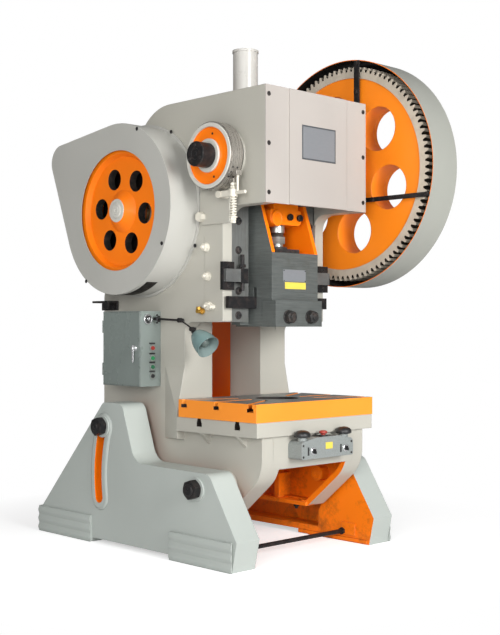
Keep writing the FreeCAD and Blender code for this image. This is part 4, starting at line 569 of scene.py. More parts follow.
gib_steel = ground("ground_gib", (0.22, 0.225, 0.215), rough=0.34, along=(24, 24, 1), metal=0.6)
coat("gib_left", gib_steel)
coat("gib_right", gib_steel)
gib_screws = bmesh.new()
for side, word in sides:
    for z in (1777, 1622, 1405, 1275):
        turn(gib_screws, seat(side * 276.5, 315, z, to_front),
             [(0, 0), (22, 0), (22, 2), (21, 3), (16, 3), (16, 10.7), (14.5, 12.2), (8, 12.2),
              (7.6, 6), (0, 6)], 40)
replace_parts(fitted("gib_screws", gib_screws, "frame", blacked("dark_screw_steel", (0.03, 0.03, 0.031))),
            "gib_bolts")
cream = enamel("cream_enamel", (0.68, 0.645, 0.555), edge=1.5, edge_wear_and_highlight=0.35)
cheek_seat = cheek_face - 1
adjusters = bmesh.new()
for side, word in sides:
    for depth, z in ((443, 1638), (430, 1483), (421, 1324)):
        stand = seat(side * cheek_seat, depth, z, (side, 0, 0))
        turn(adjusters, stand, [(0, 0), (25, 0), (25, 5), (23, 7), (10, 7)], 40)
        nut(adjusters, seat(side * (cheek_seat + 7), depth, z, (side, 0, 0)), 38, 17, turned=0.3)
        turn(adjusters, stand, [(9, 21)] + thread(22, 2.4, 6, 9.2, 8.2) + [(9, 37), (7.5, 40), (0, 40)], 24)
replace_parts(fitted("gib_adjusters", adjusters, "frame", cream), "gib_set_screws")


# ---- Oil fittings ----
# A brass junction block with its compression nuts on the left cheek, where the oil for
# the ways comes in, and a cream plug beside it.
brass = ground("turned_brass", (0.62, 0.36, 0.07), rough=0.28, edge=0.6, tint=0.7)
fittings = bmesh.new()
oil_inlet, oil_plug = (seat(-cheek_seat, depth, z, to_left) for depth, z in ((469, 1298), (387, 1320)))
nut(fittings, oil_inlet, 30, 14)
turn(fittings, oil_inlet, [(9, 14), (9, 30), (12, 32), (12, 44), (0, 44)], 24)
nut(fittings, seat(-421, 469, 1306, upward), 24, 16)
slab(fittings, (-412, 458, 1286), (-cheek_seat, 496, 1312), 2)
nut(fittings, oil_plug, 26, 12, slot=1)
turn(fittings, oil_plug, [(8, 12), (8, 24), (11, 26), (11, 34), (0, 34)], 24, 1)
fitted("oil_fittings", fittings, "frame", brass, cream)


# ---- Gear guard and its bars ----
# A rolled sheet band round the bull gear, grey outside, painted black inside as shade, and
# orange on its rolled edge. Two flat bars in front hold it to the frame.
band_grey = enamel("band_grey_enamel", (0.33, 0.335, 0.30), edge=1.5, edge_wear_and_highlight=0.1)
# Painted shade: black for the insides of the guards and the sheets that close them.
guard_shade_paint = blacked("guard_painted_shade_black", (0.010, 0.009, 0.008), rough=0.42)
shaft_axis = axis("countershaft")


def band_inside(face):
    return abs(face.normal.x) < 0.5 and (
        face.reach(crank_axis)[1] < 653 or face.reach(shaft_axis)[1] < 135.5)


# The inside of the band is painted black as shade.
coat("gear_guard", band_grey, (signal_orange, lambda face: face.normal.x < -0.9), (guard_shade_paint, band_inside))
coat("guard_bars", bolt_black)
# A black lip closes the back of the band, painted shade where light would show through.
back_lip = bmesh.new()
turn(back_lip, seat(0, *crank_axis, to_right),
     [(651.5, 746.5), (604, 747.2), (602, 748), (602, 749.2), (604, 750), (651.5, 750), (651.5, 746.5)], 160)
fitted("guard_back_lip", back_lip, "frame", guard_shade_paint)
bar_bolts = bmesh.new()
for depth, z in ((181, 2725), (181, 2560), (-320, 1933.5), (60, 1933.5)):
    nut(bar_bolts, seat(527, depth, z, to_left), 24, 10)
for depth, z in ((181, 2345), (66, 1933.5)):
    nut(bar_bolts, seat(397, depth, z, to_right), 22, 9)
fitted("guard_bar_bolts", bar_bolts, "frame", bolt_black)


# ---- Bull gear, pinion and clutch ----
# The gear is cast and hobbed, with web and holes orange and the rest bare under grease, its
# tooth gaps dark with grease and painted shade. The pinion is cut on the drive shaft, and a
# rolling key clutch with its latch joins gear and crank.
rim_iron = ground("hobbed_iron", (0.66, 0.58, 0.47), rough=0.42, edge=1.5, tint=0.85, metal=0.25)
gear_orange = enamel("gear_orange_enamel", (1.0, 0.26, 0.012), edge=10, gloss=0.3, sheen=0.25)
# Dark for the tooth gaps: grease, and painted shade where the gaps lie deep.
tooth_gap_grease_and_shade = blacked("tooth_gap_grease_and_shade", (0.03, 0.027, 0.022), rough=0.4)
hole_circle, rim_reach, hub_reach = 345, 553.5, 150.5


def around(middle, x, reach, rise):
    """A point at a distance and angle from an axis that runs from side to side."""
    return place(x, *on_circle(middle, reach, rise))


def tooth_gap(face):
    near, far = face.reach(crank_axis)
    return abs(face.normal.x) < 0.5 and near > 588 and far < 617.9


def rim_or_hub(face):
    near, far = face.reach(crank_axis)
    return near > rim_reach or far < hub_reach and face.high.x < 551


coat("bull_gear", gear_orange, (tooth_gap_grease_and_shade, tooth_gap), (rim_iron, rim_or_hub))
collars = bmesh.new()
for rise in range(17, 377, 60):
    turn(collars, aim(around(crank_axis, 0, hole_circle, rise), to_right),
         [(136, 673), (136, 700), (133, 704), (128, 704), (125, 701), (125, 673), (136, 673)], 96)
fitted("gear_hole_collars", collars, "gear", gear_orange)
# The pinion's tooth flanks take the same grease and painted shade.
coat("pinion", rim_iron, (tooth_gap_grease_and_shade, lambda face: abs(face.normal.x) < 0.5))
coat("clutch_hub", bare_steel)
coat("clutch_latch", bolt_black)


# ---- Crankshaft and brake drum ----
# The forged shaft turns in bronze bushes. On its left end sits an iron drum, bare at the
# rim where the band runs, with an orange dish round a grey hub.
coat("crankshaft", bolt_black, (bare_steel, lambda face: -405 < face.low.x and face.high.x < 400))
bronze = ground("bearing_bronze", (0.50, 0.30, 0.12), rough=0.35)
coat("crank_bushes", bronze)
coat("shaft_bearings", bronze)
drum_rim = enamel("drum_rim_grey", (0.60, 0.585, 0.53), edge=3, gloss=0.4)
drum_side = ground("turned_drum_side", (0.40, 0.375, 0.34), rough=0.2, edge=1, along=(24, 1, 1),
                   tint=0.85, metal=0.7, stains=0.2)
drum = bmesh.new()
for slot, profile in (
        (3, [(64.2, 395), (146, 395), (146, 416), (168, 416), (171, 419), (171, 505)]),
        (0, [(171, 505), (168, 508), (150, 508)]),
        (0, [(150, 508), (148.5, 506), (148, 502)]),
        (1, [(148, 502), (146, 497), (141, 494), (133, 492), (102, 492), (94, 494), (90, 498), (88, 503)]),
        (0, [(88, 503), (87.5, 511), (85, 514), (70, 514), (68, 512), (64.2, 512)])):
    turn(drum, seat(0, *crank_axis, to_left), profile, 128, slot)
for rise in (99, 255):
    turn(drum, aim(around(crank_axis, -492, 115, rise), to_left),
         [(6.5, -1), (6.5, 1), (5.5, 1.6), (0, 1.2)], 24, 2)
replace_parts(fitted("brake_drum_turned", drum, "crank", drum_rim, signal_orange, slot_dark, drum_side,
                   smooth=40), "brake_drum")
shaft_cap = bmesh.new()
turn(shaft_cap, seat(-592, *crank_axis, to_left),
     [(0, 0), (64, 0), (64.4, 3), (62, 6), (30, 6), (28, 3), (12, 3), (11, 5), (0, 5)], 96)
for rise in range(90, 450, 120):
    button_screw(shaft_cap, aim(around(crank_axis, -598, 45, rise), to_left), 6)
fitted("shaft_end_cap", shaft_cap, "crank", bolt_black)


# ---- Brake band, rod and spring ----
# A steel band with its lining grips the drum. The drawn rod pulls it shut through a
# coiled spring, which stands on an arm bolted to the cheek.
def sweep(shape, line, radius, steps):
    """Sweeps a round section along a row of close points."""
    rings = []
    across = (line[1] - line[0]).orthogonal().normalized()
    for i, spot in enumerate(line):
        ahead = (line[min(i + 1, len(line) - 1)] - line[max(i - 1, 0)]).normalized()
        across = (across - ahead * across.dot(ahead)).normalized()
        beside = ahead.cross(across)
        spokes = (on_circle((0, 0), radius, 360 * k / steps) for k in range(steps))
        rings.append([spot + across * out + beside * up for out, up in spokes])
    loop_skin(shape, rings)


coat("brake_band", drum_side)
coat("brake_anchor", frame_grey, (cream, lambda face: face.low.x < -402))
coat("brake_rod", cream)
rod_x, rod_depth = -450, 170
coils, coil_radius, spring_foot, spring_head = 7.5, 14.3, 1781.5, 1878.5
coil_line = []
for k in range(229):
    part = k / 228
    climb = 0.04 + 0.92 * min(1, max(0, (part - 0.06) / 0.88))
    coil_line.append(place(*on_circle((rod_x, rod_depth), coil_radius, 360 * coils * part),
                           spring_foot + (spring_head - spring_foot) * climb))
spring = bmesh.new()
sweep(spring, coil_line, 4.2, 10)
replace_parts(fitted("brake_spring_coiled", spring, "frame", cream), "brake_spring")
rod_nuts = bmesh.new()
for z in (1746, 1762, 1924, 1940):
    nut(rod_nuts, seat(rod_x, rod_depth, z, upward), 27, 13, turned=z)
fitted("brake_rod_nuts", rod_nuts, "frame", cream)
lining = bmesh.new()
for rise in (204, 213, 222):
    out = around(crank_axis, 0, 1, rise) - place(0, *crank_axis)
    for x in (-482, -450):
        turn(lining, aim(around(crank_axis, x, 177.4, rise), out),
             [(5, -1), (5, 1), (3.4, 2.4), (0, 2.8)], 16)
fitted("lining_rivets", lining, "frame", bolt_black)


# ---- Connecting rod ----
# An iron rod split at the crank pin, its cap drawn down by four bolts. The clamp at its
# foot grips the ball screw, which sets the height of the slide.
coat("connecting_rod", signal_orange)
coat("rod_cap", signal_orange)
coat("rod_bolts", bolt_black)
clamp_boss = bmesh.new()
turn(clamp_boss, seat(-72, 222.5, 1801, to_front),
     [(44, 0), (43, 3), (38, 4.5), (30, 4), (27, 1), (0, 0.6)], 64)
fitted("rod_clamp_boss", clamp_boss, "rod", signal_orange)
clamp_heads = bmesh.new()
for x in (22, 98):
    turn(clamp_heads, seat(x, 213.8, 1810, to_front),
         [(19, -6.2), (19, 1), (17.5, 3), (9, 3), (8.5, -4), (0, -4)], 32)
fitted("rod_clamp_screws", clamp_heads, "rod", bolt_black)
# Below its hexagon the ball screw is painted dark as shade inside the slide.
coat("ball_screw", bare_steel, (slot_dark, lambda face: face.high.z < 1665))
ball_thread = bmesh.new()
turn(ball_thread, seat(0, crank_axis[0], 0, upward),
     [(34.2, 1668), (36, 1669), (36, 1706)] + thread(1710, 6, 9, 37.5, 34.4), 48)
fitted("ball_screw_thread", ball_thread, "rod", blacked("oily_thread", (0.055, 0.052, 0.048), rough=0.28))


# ---- Slide, shank clamp and ball retainer ----
# An iron block scraped on its guides and ground on its face. The walls above it are
# orange inside, and a cap with two studs grips the shank of the upper die.
slide_iron = ground("ground_slide", (0.165, 0.18, 0.172), rough=0.34, edge=1.5, along=(1, 1, 26),
                    tint=0.72, metal=0.5)
block_top = 1609


def slide_wall(face):
    return (face.low.z > block_top and face.outer < 177.7
            and (face.outer < 153.7 or face.normal.y < -0.3))


def slide_well(face):
    return (face.reach((0, crank_axis[0]), upright=True)[1] < 150 and 1296 < face.low.z
            and face.high.z < block_top + 0.5 and abs(face.normal.z) < 0.5)


# The well inside the slide is painted dark as shade.
coat("slide", slide_iron, (signal_orange, slide_wall), (slot_dark, slide_well))
coat("shank_clamp", slide_iron)
coat("ball_retainer", blacked("retainer_black", (0.03, 0.031, 0.032), rough=0.4))
studs = bmesh.new()
for x in (-85, 85):
    stand = seat(x, 131, 1267, to_front)
    turn(studs, stand, [(0, 0), (37, 0), (37, 5), (35, 6.5), (20, 6.5)], 48)
    nut(studs, seat(x, 124.5, 1267, to_front), 60, 29, turned=0.26)
    turn(studs, stand, [(19.5, 35.5)] + thread(37, 2.6, 3, 19.8, 18) + [(19.5, 43.5), (16, 46), (0, 46)], 32)
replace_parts(fitted("clamp_stud_nuts", studs, "slide", blacked("nut_black", (0.028, 0.028, 0.028))),
            "clamp_nuts")
yellow_plate = etched("yellow_plate", (0.76, 0.60, 0.09), 0.0)
slide_plates = bmesh.new()
slab(slide_plates, (-93, 159.4, 1456), (81, 161, 1521), 0.5)
slab(slide_plates, (-80, 159.4, 1417), (81, 161, 1453), 0.5, 1)
front_screws(slide_plates, (-88, 76), 159.6, (1461, 1516), 2.4, 2)
fitted("slide_plates", slide_plates, "slide", plate_satin, yellow_plate, bolt_black)
scribed = bmesh.new()
for z, high in ((1582, 2.2), (1545, 1.4), (1398, 1.6), (1377, 1.2)):
    slab(scribed, (-177, 160.6, z), (177, 161.3, z + high), 0.2)
fitted("slide_scribed_lines", scribed, "slide", slide_iron)


# ---- Knock-out bar and stops ----
# A blacked bar floats in a slot across the slide. At the top of the stroke it meets two
# adjustable stops on the frame and pushes the work out of the upper die.
link_steel = ground("link_steel", (0.20, 0.205, 0.20), rough=0.34, edge=1.5, metal=0.6)


def stop_link(face):
    return (289.5 < face.inner and face.outer < 400.5 and 1449 < face.low.z
            and face.high.z < 1520 and face.high.y < 294.5)


coat("knockout_bar", bolt_black)
coat("knockout_stops", bolt_black, (link_steel, stop_link))
stop_threads = bmesh.new()
for side, word in sides:
    turn(stop_threads, seat(side * 270, 290, 0, upward),
         [(11, 1548)] + thread(1549.2, 3.2, 13, 11.4, 9.9) + [(10.5, 1594), (8, 1597.5), (0, 1597.5)], 28)
front_screws(stop_threads, (-366, 366), 293, (1432, 1534), 9)
fitted("stop_screw_threads", stop_threads, "frame", bolt_black)


# ---- Drive shaft and flywheel ----
# The cast flywheel runs on the left end of the drive shaft. Its web is orange, the walls of
# its holes are painted dark as shade, and a grey washer and lock nut close the end of the hub.
def wheel_hole(face):
    near, far = face.reach(shaft_axis)
    return abs(face.normal.x) < 0.4 and 136 < near and far < 255 and face.high.x < -495


coat("drive_shaft", bare_steel)
# The walls of the flywheel's holes are painted dark as shade.
coat("flywheel", signal_orange, (slot_dark, wheel_hole))
hub_end = bmesh.new()
for profile in ([(0, 0), (64, 0), (65, 2), (63, 4.5), (46, 5), (45, 3.5), (43, 3.5)],
                [(43, 3.5), (42, 9), (40, 10), (27, 10), (25.5, 8)],
                [(25.5, 8), (24, 11.5), (8, 11.5), (6, 8), (0, 8)]):
    turn(hub_end, seat(-588, *shaft_axis, to_left), profile, 96)
for rise in range(20, 380, 90):
    turn(hub_end, aim(around(shaft_axis, -598, 34, rise), to_left),
         [(3.2, -0.6), (3.2, 0.6), (0, 0.9)], 12)
fitted("flywheel_hub_end", hub_end, "countershaft", drum_rim)


# ---- Flywheel guard ----
# Sheet steel, folded and rolled round flywheel, belts and pulley, with a round window.
# Small black screws hold its face, and a sheet closes it toward the cheek.
guard_grey = enamel("guard_grey_enamel", (0.455, 0.45, 0.415), edge=2, edge_wear_and_highlight=0.6)
guard_axis = (shaft_axis[0] + 9, shaft_axis[1] + 8)


def guard_inside(face):
    return (-586.5 < face.low.x and face.high.x < -394 and face.normal.x > -0.5
            and all(dist(c.yz, guard_axis) < 471 or c.y > 1300 for c in face.corners))


# Painted shade: the inside of the flywheel guard is black.
coat("flywheel_guard", guard_grey, (guard_shade_paint, guard_inside))
# The back sheet is black as painted shade.
back_sheet = bmesh.new()
turn(back_sheet, seat(-406, *guard_axis, to_left),
     [(125, 0), (465, 0), (466, 1), (465, 2), (125, 2), (125, 0)], 128)
fitted("guard_back_sheet", back_sheet, "frame", guard_shade_paint)
# A black patch on the rim stands for an opening into the dark guard: painted shade.
rim_opening = bmesh.new()
opening_edge = ((-562, 472.5), (-562, 474.6), (-486, 474.6), (-486, 472.5))
loop_skin(rim_opening, [[around(guard_axis, x, reach, 239.5 + 33 * step / 24) for x, reach in opening_edge]
                        for step in range(25)])
fitted("guard_rim_opening", rim_opening, "frame", guard_shade_paint)
guard_screws = bmesh.new()
for x, depth, z in ((-590, 784.3, 2289.2), (-590, 572.8, 1656.4), (-590, 1248.6, 1474.2),
                    (-400, 722.9, 2287.4), (-400, 523.1, 1650.9)):
    button_screw(guard_screws, seat(x, depth, z, to_left), 8)
fitted("guard_face_screws", guard_screws, "frame", bolt_black)
coat("v_belts", blacked("belt_rubber_black", (0.016, 0.016, 0.017), rough=0.6))


# ---- Motor, bracket and pulley ----
# A foot-mounted motor with cast cooling fins, bolted to a welded bracket behind the
# head. Its grooved pulley drives the flywheel through four belts.
motor_grey = enamel("motor_grey_enamel", (0.30, 0.33, 0.31), edge=2, cast=1.0)
coat("motor", motor_grey)
motor_axis = axis("rotor")
fins = bmesh.new()
for i in range(32):
    out = Vector((0, *on_circle((0, 0), 1, 360 * i / 32 + 5.6)))
    beside = Vector((0, -out.z, out.y))
    if -0.62 <= out.z <= 0.8:
        rings = []
        for x, tip in ((-300, 160), (-296, 165), (112, 165), (116, 160)):
            spot = place(x, *motor_axis)
            rings.append([spot + out * 147 - beside * 2.6, spot + out * tip - beside * 1.6,
                          spot + out * tip + beside * 1.6, spot + out * 147 + beside * 2.6])
        loop_skin(fins, rings)
turn(fins, seat(190, *motor_axis, to_right),
     [(158, -68), (160, -4), (157, 0), (120, 4), (118, 3), (60, 5), (58, 4), (0, 6)], 72)
fitted("motor_fins", fins, "frame", motor_grey)
motor_bolts = bmesh.new()
for x in (-190, 100):
    for beside in (-112, 112):
        nut(motor_bolts, seat(x, motor_axis[0] + beside, 2065, upward), 22, 10)
front_screws(motor_bolts, (-100, 80), 1427, (2325, 2368), 5)
fitted("motor_bolts", motor_bolts, "frame", bolt_black)
coat("motor_bracket", frame_grey)
coat("motor_pulley", rim_iron)


# ---- Guard bracket ----
# A black angle welded to the column under the flywheel guard, where the guard rests.
# Two bolts close its holes.
guard_rest = bmesh.new()
for low, high in (((-470, 1207, 1352), (-389, 1356, 1364)), ((-401, 1207, 1310), (-389, 1356, 1352)),
                  ((-470, 1207, 1318), (-455, 1250, 1352))):
    slab(guard_rest, low, high, 1.5)
for depth in (1240, 1325):
    nut(guard_rest, seat(-401, depth, 1330, to_left), 24, 10)
fitted("guard_rest_angle", guard_rest, "frame", bolt_black)


# ---- Electric cabinet and its door ----
# A folded sheet box on the cheek, with a hinged door on its outer side and the
# controls on its front. Pressed edges stiffen the door.
# Its corners are paled strongly: rubbed edges, and a painted highlight on the vertical corner.
cabinet_grey = enamel("cabinet_grey_enamel", (0.19, 0.222, 0.207), edge=2, gloss=0.22, edge_wear_and_highlight=0.7)
chrome = ground("bright_chrome", (0.72, 0.73, 0.74), rough=0.12, edge=0.8, tint=0.93)
button_x, button_heights, cabinet_front = -450, (1097, 1041, 992, 942), 825


def cabinet_control(face):
    return face.high.y < cabinet_front - 0.1


def button_ring(face):
    return (cabinet_control(face) and button_x - 18.5 < face.low.x and face.high.x < button_x + 18.5
            and min(abs(c.z - z) for z in button_heights for c in face.corners) < 19)


coat("cabinet_box", cabinet_grey, (bare_steel, button_ring), (bolt_black, cabinet_control))
coat("cabinet_door", cabinet_grey)
door_face = -535
door_trim = bmesh.new()
for front, low, rear, high in ((829, 889, 1156, 892), (829, 1294, 1156, 1297),
                               (829, 892, 832, 1294), (1153, 892, 1156, 1294)):
    slab(door_trim, (door_face - 2.2, front, low), (door_face, rear, high), 0.8)
fitted("door_pressed_edge", door_trim, "door", cabinet_grey)


def sign_plastic(name, colour, rough=0.35, grain=0.04):
    """Moulded or engraved plastic with a fine satin skin."""
    f = Finish(name)
    f.paint(f.over(f.spread(f.grain(35, 4), 0.3, 0.7), shade(colour, 0.88), colour),
            f.spread(f.grain(50, 3), 0.3, 0.7, rough, rough + 0.14))
    f.relief(f.grain(420, 2), grain, 0.7, 0.3)
    return f.material


black_plastic = sign_plastic("black_plastic", (0.014, 0.014, 0.015))
pale_dial = sign_plastic("pale_dial", (0.70, 0.71, 0.68))
labels = bmesh.new()
for z in button_heights:
    slab(labels, (button_x - 21, 823.8, z + 21), (button_x + 21, cabinet_front, z + 30), 0.3)
dial_x, dial_z = -487, 1257
stand = seat(dial_x, 816, dial_z, to_front)
turn(labels, stand, [(26.5, -8), (28, -7), (28, 3), (26, 5), (24, 4.6), (23.5, 1.5)], 64, 2)
turn(labels, stand, [(23.5, 1.5), (0, 1.5)])
for i in range(11):
    z, x = on_circle((0, 0), 1, -135 + 27 * i)
    outward, beside = Vector((x, 0, z)), Vector((z, 0, -x)) * 0.7
    start = 17 if i % 5 == 0 else 19
    mark = [place(dial_x, 814.2, dial_z) + outward * reach + way * beside
            for reach, way in ((start, -1), (22, -1), (22, 1), (start, 1))]
    labels.faces.new([labels.verts.new(point) for point in mark]).material_index = 1
turn(labels, stand, [(9, 1.5), (9, 9), (7.5, 11), (0, 11)], 32, 2)
slab(labels, (dial_x - 1, 803.5, dial_z), (dial_x + 1, 805.5, dial_z + 8), 0.2, 1)
fitted("cabinet_labels_and_dial", labels, "frame", black_plastic, pale_dial, chrome)


# ---- Cabinet push buttons and door handle ----
# Plastic buttons in bright rings, and a plated lever that turns the door latch.
# The lever is cast flat, wide at its hub and narrow at its tip.
button_red = sign_plastic("button_red", (0.34, 0.028, 0.018))
button_green = sign_plastic("button_green", (0.02, 0.26, 0.09))
deep_green = sign_plastic("button_deep_green", (0.012, 0.13, 0.055))
button_colours = (button_red, button_green, deep_green, black_plastic)
for number, (z, colour) in enumerate(zip(button_heights, button_colours), start=1):
    cap = bmesh.new()
    turn(cap, seat(button_x, cabinet_front, z, to_front),
         [(0, -4), (10.8, -4), (10.8, 11), (9.8, 12.6), (7, 12.9), (5, 12.3), (0, 12)], 40)
    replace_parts(fitted(f"push_button_{number}", cap, f"button_{number}", colour), f"cabinet_button_{number}")
handle_axis = axis("handle")
lever = bmesh.new()
turn(lever, seat(door_face, *handle_axis, to_left),
     [(0, -2), (9, -2), (9, 0.3), (16, 0.3), (16, 3.5), (14.5, 5), (10, 6), (9.5, 16),
      (11, 18), (11, 22), (9, 24), (0, 24.3)], 40)
rings = []
for z, wide, thick in ((1112, 6, 4), (1105, 10, 5.5), (1090, 10.5, 5.5), (1060, 8, 4.6),
                       (1034, 7.4, 4.2), (1022, 6, 3.4), (1018, 3, 2)):
    spokes = (on_circle((0, 0), 1, 18 * k) for k in range(20))
    rings.append([place(door_face - 17 + thick * out, handle_axis[0] + wide * along, z)
                  for along, out in spokes])
loop_skin(lever, rings)
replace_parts(fitted("door_lever", lever, "handle", chrome), "door_handle")


# ---- Work lamp ----
# Blacked tube arms with clamping joints carry a spun steel bell, teal outside and dark
# teal-grey inside as painted shade, with a bulb painted dark as shade in a black lampholder.
coat("lamp_arm_lower", bolt_black)
coat("lamp_arm_upper", bolt_black)
teal = enamel("lamp_teal_enamel", (0.16, 0.25, 0.245), edge=1, gloss=0.16, edge_wear_and_highlight=0.1)
# The inside of the bell and the bulb are darkened: painted shade.
lamp_inside = enamel("lamp_inside_enamel", (0.23, 0.30, 0.29), edge=1, edge_wear_and_highlight=0)
bulb_in_painted_shade = sign_plastic("bulb_in_painted_shade", (0.10, 0.13, 0.12), rough=0.2, grain=0.01)
nod_axis, elbow_axis = axis("lamp"), axis("lamp_upper")
lamp_x = -436
bell = bmesh.new()
socket = seat(lamp_x, *nod_axis, Vector((0, -0.82, -0.572)).normalized())
turn(bell, seat(lamp_x - 6, *nod_axis, to_right),
     [(0, 0), (12, 0), (12, 12.2), (4, 12.2), (4, 25), (0, 25)], 32, 2)
turn(bell, socket, [(5.5, 2), (6, 17), (12.5, 18), (13.5, 21), (17.5, 46), (18, 49)], 48, 2)
turn(bell, socket,
     [(17, 45), (26, 46.2), (32, 50), (38, 58), (46, 74), (53, 92), (58, 108), (61, 122), (62.6, 140),
      (63.6, 158), (64.6, 163), (65, 165.5), (64, 166.4), (62.5, 165.5)], 96)
turn(bell, socket,
     [(62.5, 165.5), (61.4, 158), (60, 140), (58, 122), (55, 108), (50, 92), (42, 74), (34, 60),
      (22, 53), (0, 52)], 96, 1)
turn(bell, socket,
     [(16, 52), (16, 74), (13, 76), (12, 82), (17, 92), (25, 106), (28, 120), (26, 133), (19, 143),
      (9, 148), (0, 149)], 48, 3)
along = socket.to_3x3() @ Vector((0, 0, 1))
for swing in range(0, 360, 36):
    across = socket.to_3x3() @ Vector((*on_circle((0, 0), 1, swing), 0))
    vent = place(lamp_x, *nod_axis) + across * 35.3 + along * 54.2
    turn(bell, aim(vent, (across * 0.87 - along * 0.45).normalized()),
         [(3.2, 0.2), (2.6, 0.9), (2.2, 0.3), (0, 0.1)], 12, 2)
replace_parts(fitted("lamp_bell", bell, "lamp", teal, lamp_inside, bolt_black, bulb_in_painted_shade, smooth=45),
            "lamp_head")
for name, body, hinge in (("lamp_elbow_knob", "lamp_lower", elbow_axis), ("lamp_nod_knob", "lamp", nod_axis)):
    knob = bmesh.new()
    turn(knob, seat(lamp_x + 19, *hinge, to_right), [(0, 0), (9, 0), (10, 2), (10, 9), (8, 11), (0, 11)], 10)
    fitted(name, knob, body, black_plastic)


# ---- Two-hand control box ----
# A cast iron box in hammered enamel under the front of the bed. Big palm buttons stand
# at its ends, with the stop button between them and two key selectors on its face.
def hammered(name, colour):
    """Hammer finish enamel: pools of glossy paint between little dimples."""
    f = Finish(name)
    cells = f.add("ShaderNodeTexVoronoi", Vector=f.spot(), Scale=240.0, feature="SMOOTH_F1")
    dimple = cells.outputs["Distance"]
    f.paint(f.over(f.spread(dimple, 0.1, 0.6), colour, shade(colour, 0.72)),
            f.spread(dimple, 0.1, 0.6, 0.22, 0.42), 0.15)
    f.relief(dimple, 0.35, 4, 0.8)
    return f.material


hammer_grey = hammered("hammered_grey", (0.315, 0.34, 0.33))
palm_reach, palm_depth, box_face = 160, -42, -75
selectors, selector_z = (-111, 139), 572


def button_collar(face):
    return face.low.z > 641.5 and any(face.reach((x, palm_depth), upright=True)[0] < 24.5
                                       for x in (-palm_reach, 0, palm_reach))


coat("control_box", hammer_grey, (black_plastic, button_collar))
box_trim = bmesh.new()
slab(box_trim, (-18, box_face - 1.4, 577), (36, box_face, 611), 0.3)
for x in selectors:
    slab(box_trim, (x - 43, box_face - 1.4, 552), (x - 32, box_face, 594), 0.3, 1)
    turn(box_trim, seat(x, box_face, selector_z, to_front),
         [(20, 0), (20, 3), (17, 5), (11, 5), (10.5, 1)], 40, 2)
front_screws(box_trim, (-186, 186), box_face, (545, 604), 4.5, 3)
fitted("control_box_trim", box_trim, "frame", yellow_plate, black_plastic, chrome, bolt_black)
for (side, word), x in zip(sides, selectors):
    palm = bmesh.new()
    turn(palm, seat(side * palm_reach, palm_depth, 0, upward),
         [(0, 594), (13.2, 594), (13.2, 655), (26.5, 655), (28, 646), (38, 645), (42, 648), (43, 653),
          (42.6, 660), (40, 667), (33, 674), (22, 679), (10, 681.5), (0, 682)], 64)
    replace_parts(fitted(f"palm_button_{word}_dome", palm, f"palm_{word}", black_plastic),
                f"palm_button_{word}")
    knob = bmesh.new()
    turn(knob, seat(x, -58, selector_z, to_front),
         [(0, 0), (8, 0), (8, 18), (12.5, 18), (12.5, 25), (11, 27), (0, 27)], 40)
    slab(knob, (x - 4, -97, selector_z - 12), (x + 4, -84, selector_z + 12), 1.5)
    slab(knob, (x - 0.8, -97.5, selector_z + 3), (x + 0.8, -96.6, selector_z + 11), 0.1, 1)
    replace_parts(fitted(f"selector_{word}_knob", knob, f"switch_{word}", black_plastic, pale_dial),
                f"selector_{word}")
stop = bmesh.new()
turn(stop, seat(0, palm_depth, 0, upward),
     [(0, 594), (11.5, 594), (11.5, 653), (18, 654.5), (21, 657), (21.5, 662), (20, 667), (15, 670),
      (8, 671.6), (0, 672)], 56)
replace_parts(fitted("stop_button_mushroom", stop, "stop", button_red), "stop_button")


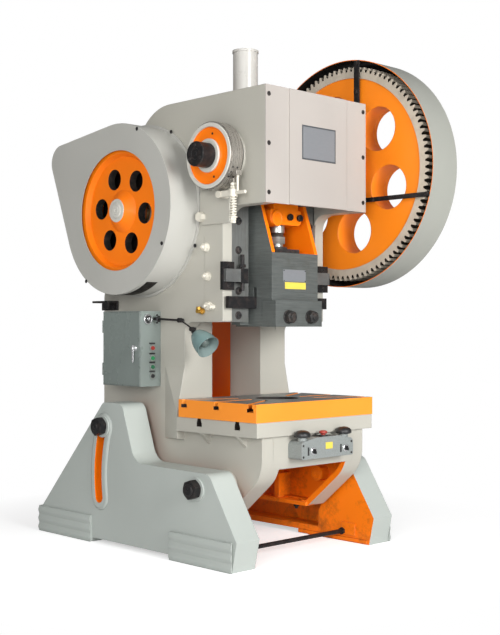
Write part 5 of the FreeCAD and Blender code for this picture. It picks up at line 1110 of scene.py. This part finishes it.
# ---- Floor, lamps and camera ----
# A seamless pale studio floor under wide soft lamps. The camera stands where the
# photographer stood, a little above the bolster.
def backdrop(name, lit):
    """Studio paint that shows shadows near the press and fades to clear white away from it."""
    f = Finish(name)
    f.paint((lit, lit, lit), 0.8, specular=0.1)
    reach = f.add("ShaderNodeVectorMath", operation="LENGTH", Vector=f.spot())
    away = f.spread(reach.outputs["Value"], 0.9, 2.1)
    faded = f.add("ShaderNodeMixShader")
    seen = f.add("ShaderNodeLightPath").outputs["Is Camera Ray"]
    f.feed(faded.inputs[0], f.sums("MULTIPLY", away, seen))
    f.feed(f.shader.inputs["Emission Color"], (1, 1, 1))
    f.feed(f.shader.inputs["Emission Strength"], f.sums("MULTIPLY", seen, 0.52))
    f.feed(faded.inputs[1], f.shader.outputs[0])
    f.feed(faded.inputs[2], f.add("ShaderNodeEmission").outputs[0])
    f.feed(f.tree.nodes["Material Output"].inputs["Surface"], faded.outputs[0])
    return f.material


floor_mesh = bpy.data.meshes.new("floor")
floor_mesh.from_pydata([(-40, -40, 0), (40, -40, 0), (40, 40, 0), (-40, 40, 0)], [], [(0, 1, 2, 3)])
floor_mesh.materials.append(backdrop("studio_floor", 0.80))
floor = added("floor", floor_mesh)

world = bpy.data.worlds.new("studio")
scene.world = world
world.use_nodes = True
sky = world.node_tree
air = sky.nodes["Background"]
air.inputs["Color"].default_value = (1, 1, 1, 1)
rays = sky.nodes.new("ShaderNodeLightPath")
level = sky.nodes.new("ShaderNodeMapRange")
level.inputs["To Min"].default_value = 0.22
sky.links.new(rays.outputs["Is Camera Ray"], level.inputs["Value"])
sky.links.new(level.outputs["Result"], air.inputs["Strength"])

for name, spot, target, size, watts in (
        ("key", (-0.9, -8.0, 2.9), (0, -0.5, 0.9), 3.4, 590),
        ("camera_side", (-6.0, -4.6, 2.2), (0, -0.3, 1.2), 3.0, 275),
        ("head_lamp", (-5.2, -1.0, 4.9), (0, -0.3, 2.0), 2.6, 40)):
    light = added(name, bpy.data.lights.new(name, "AREA"))
    light.data.shape = "DISK"
    light.data.size = size
    light.data.energy = watts
    light.location = spot
    light.rotation_euler = (Vector(target) - Vector(spot)).to_track_quat("-Z", "Y").to_euler()

photo_width, focal_pixels = 500, 1134.73
pitch, yaw = 0.421, -43.992
camera = added("camera", bpy.data.cameras.new("camera"))
camera.location = (-4.4199, -4.9162, 1.2196)
camera.rotation_euler = (radians(90 + pitch), 0, radians(yaw))
camera.data.sensor_fit = "HORIZONTAL"
camera.data.lens = camera.data.sensor_width * focal_pixels / photo_width
camera.data.clip_end = 200
scene.camera = camera
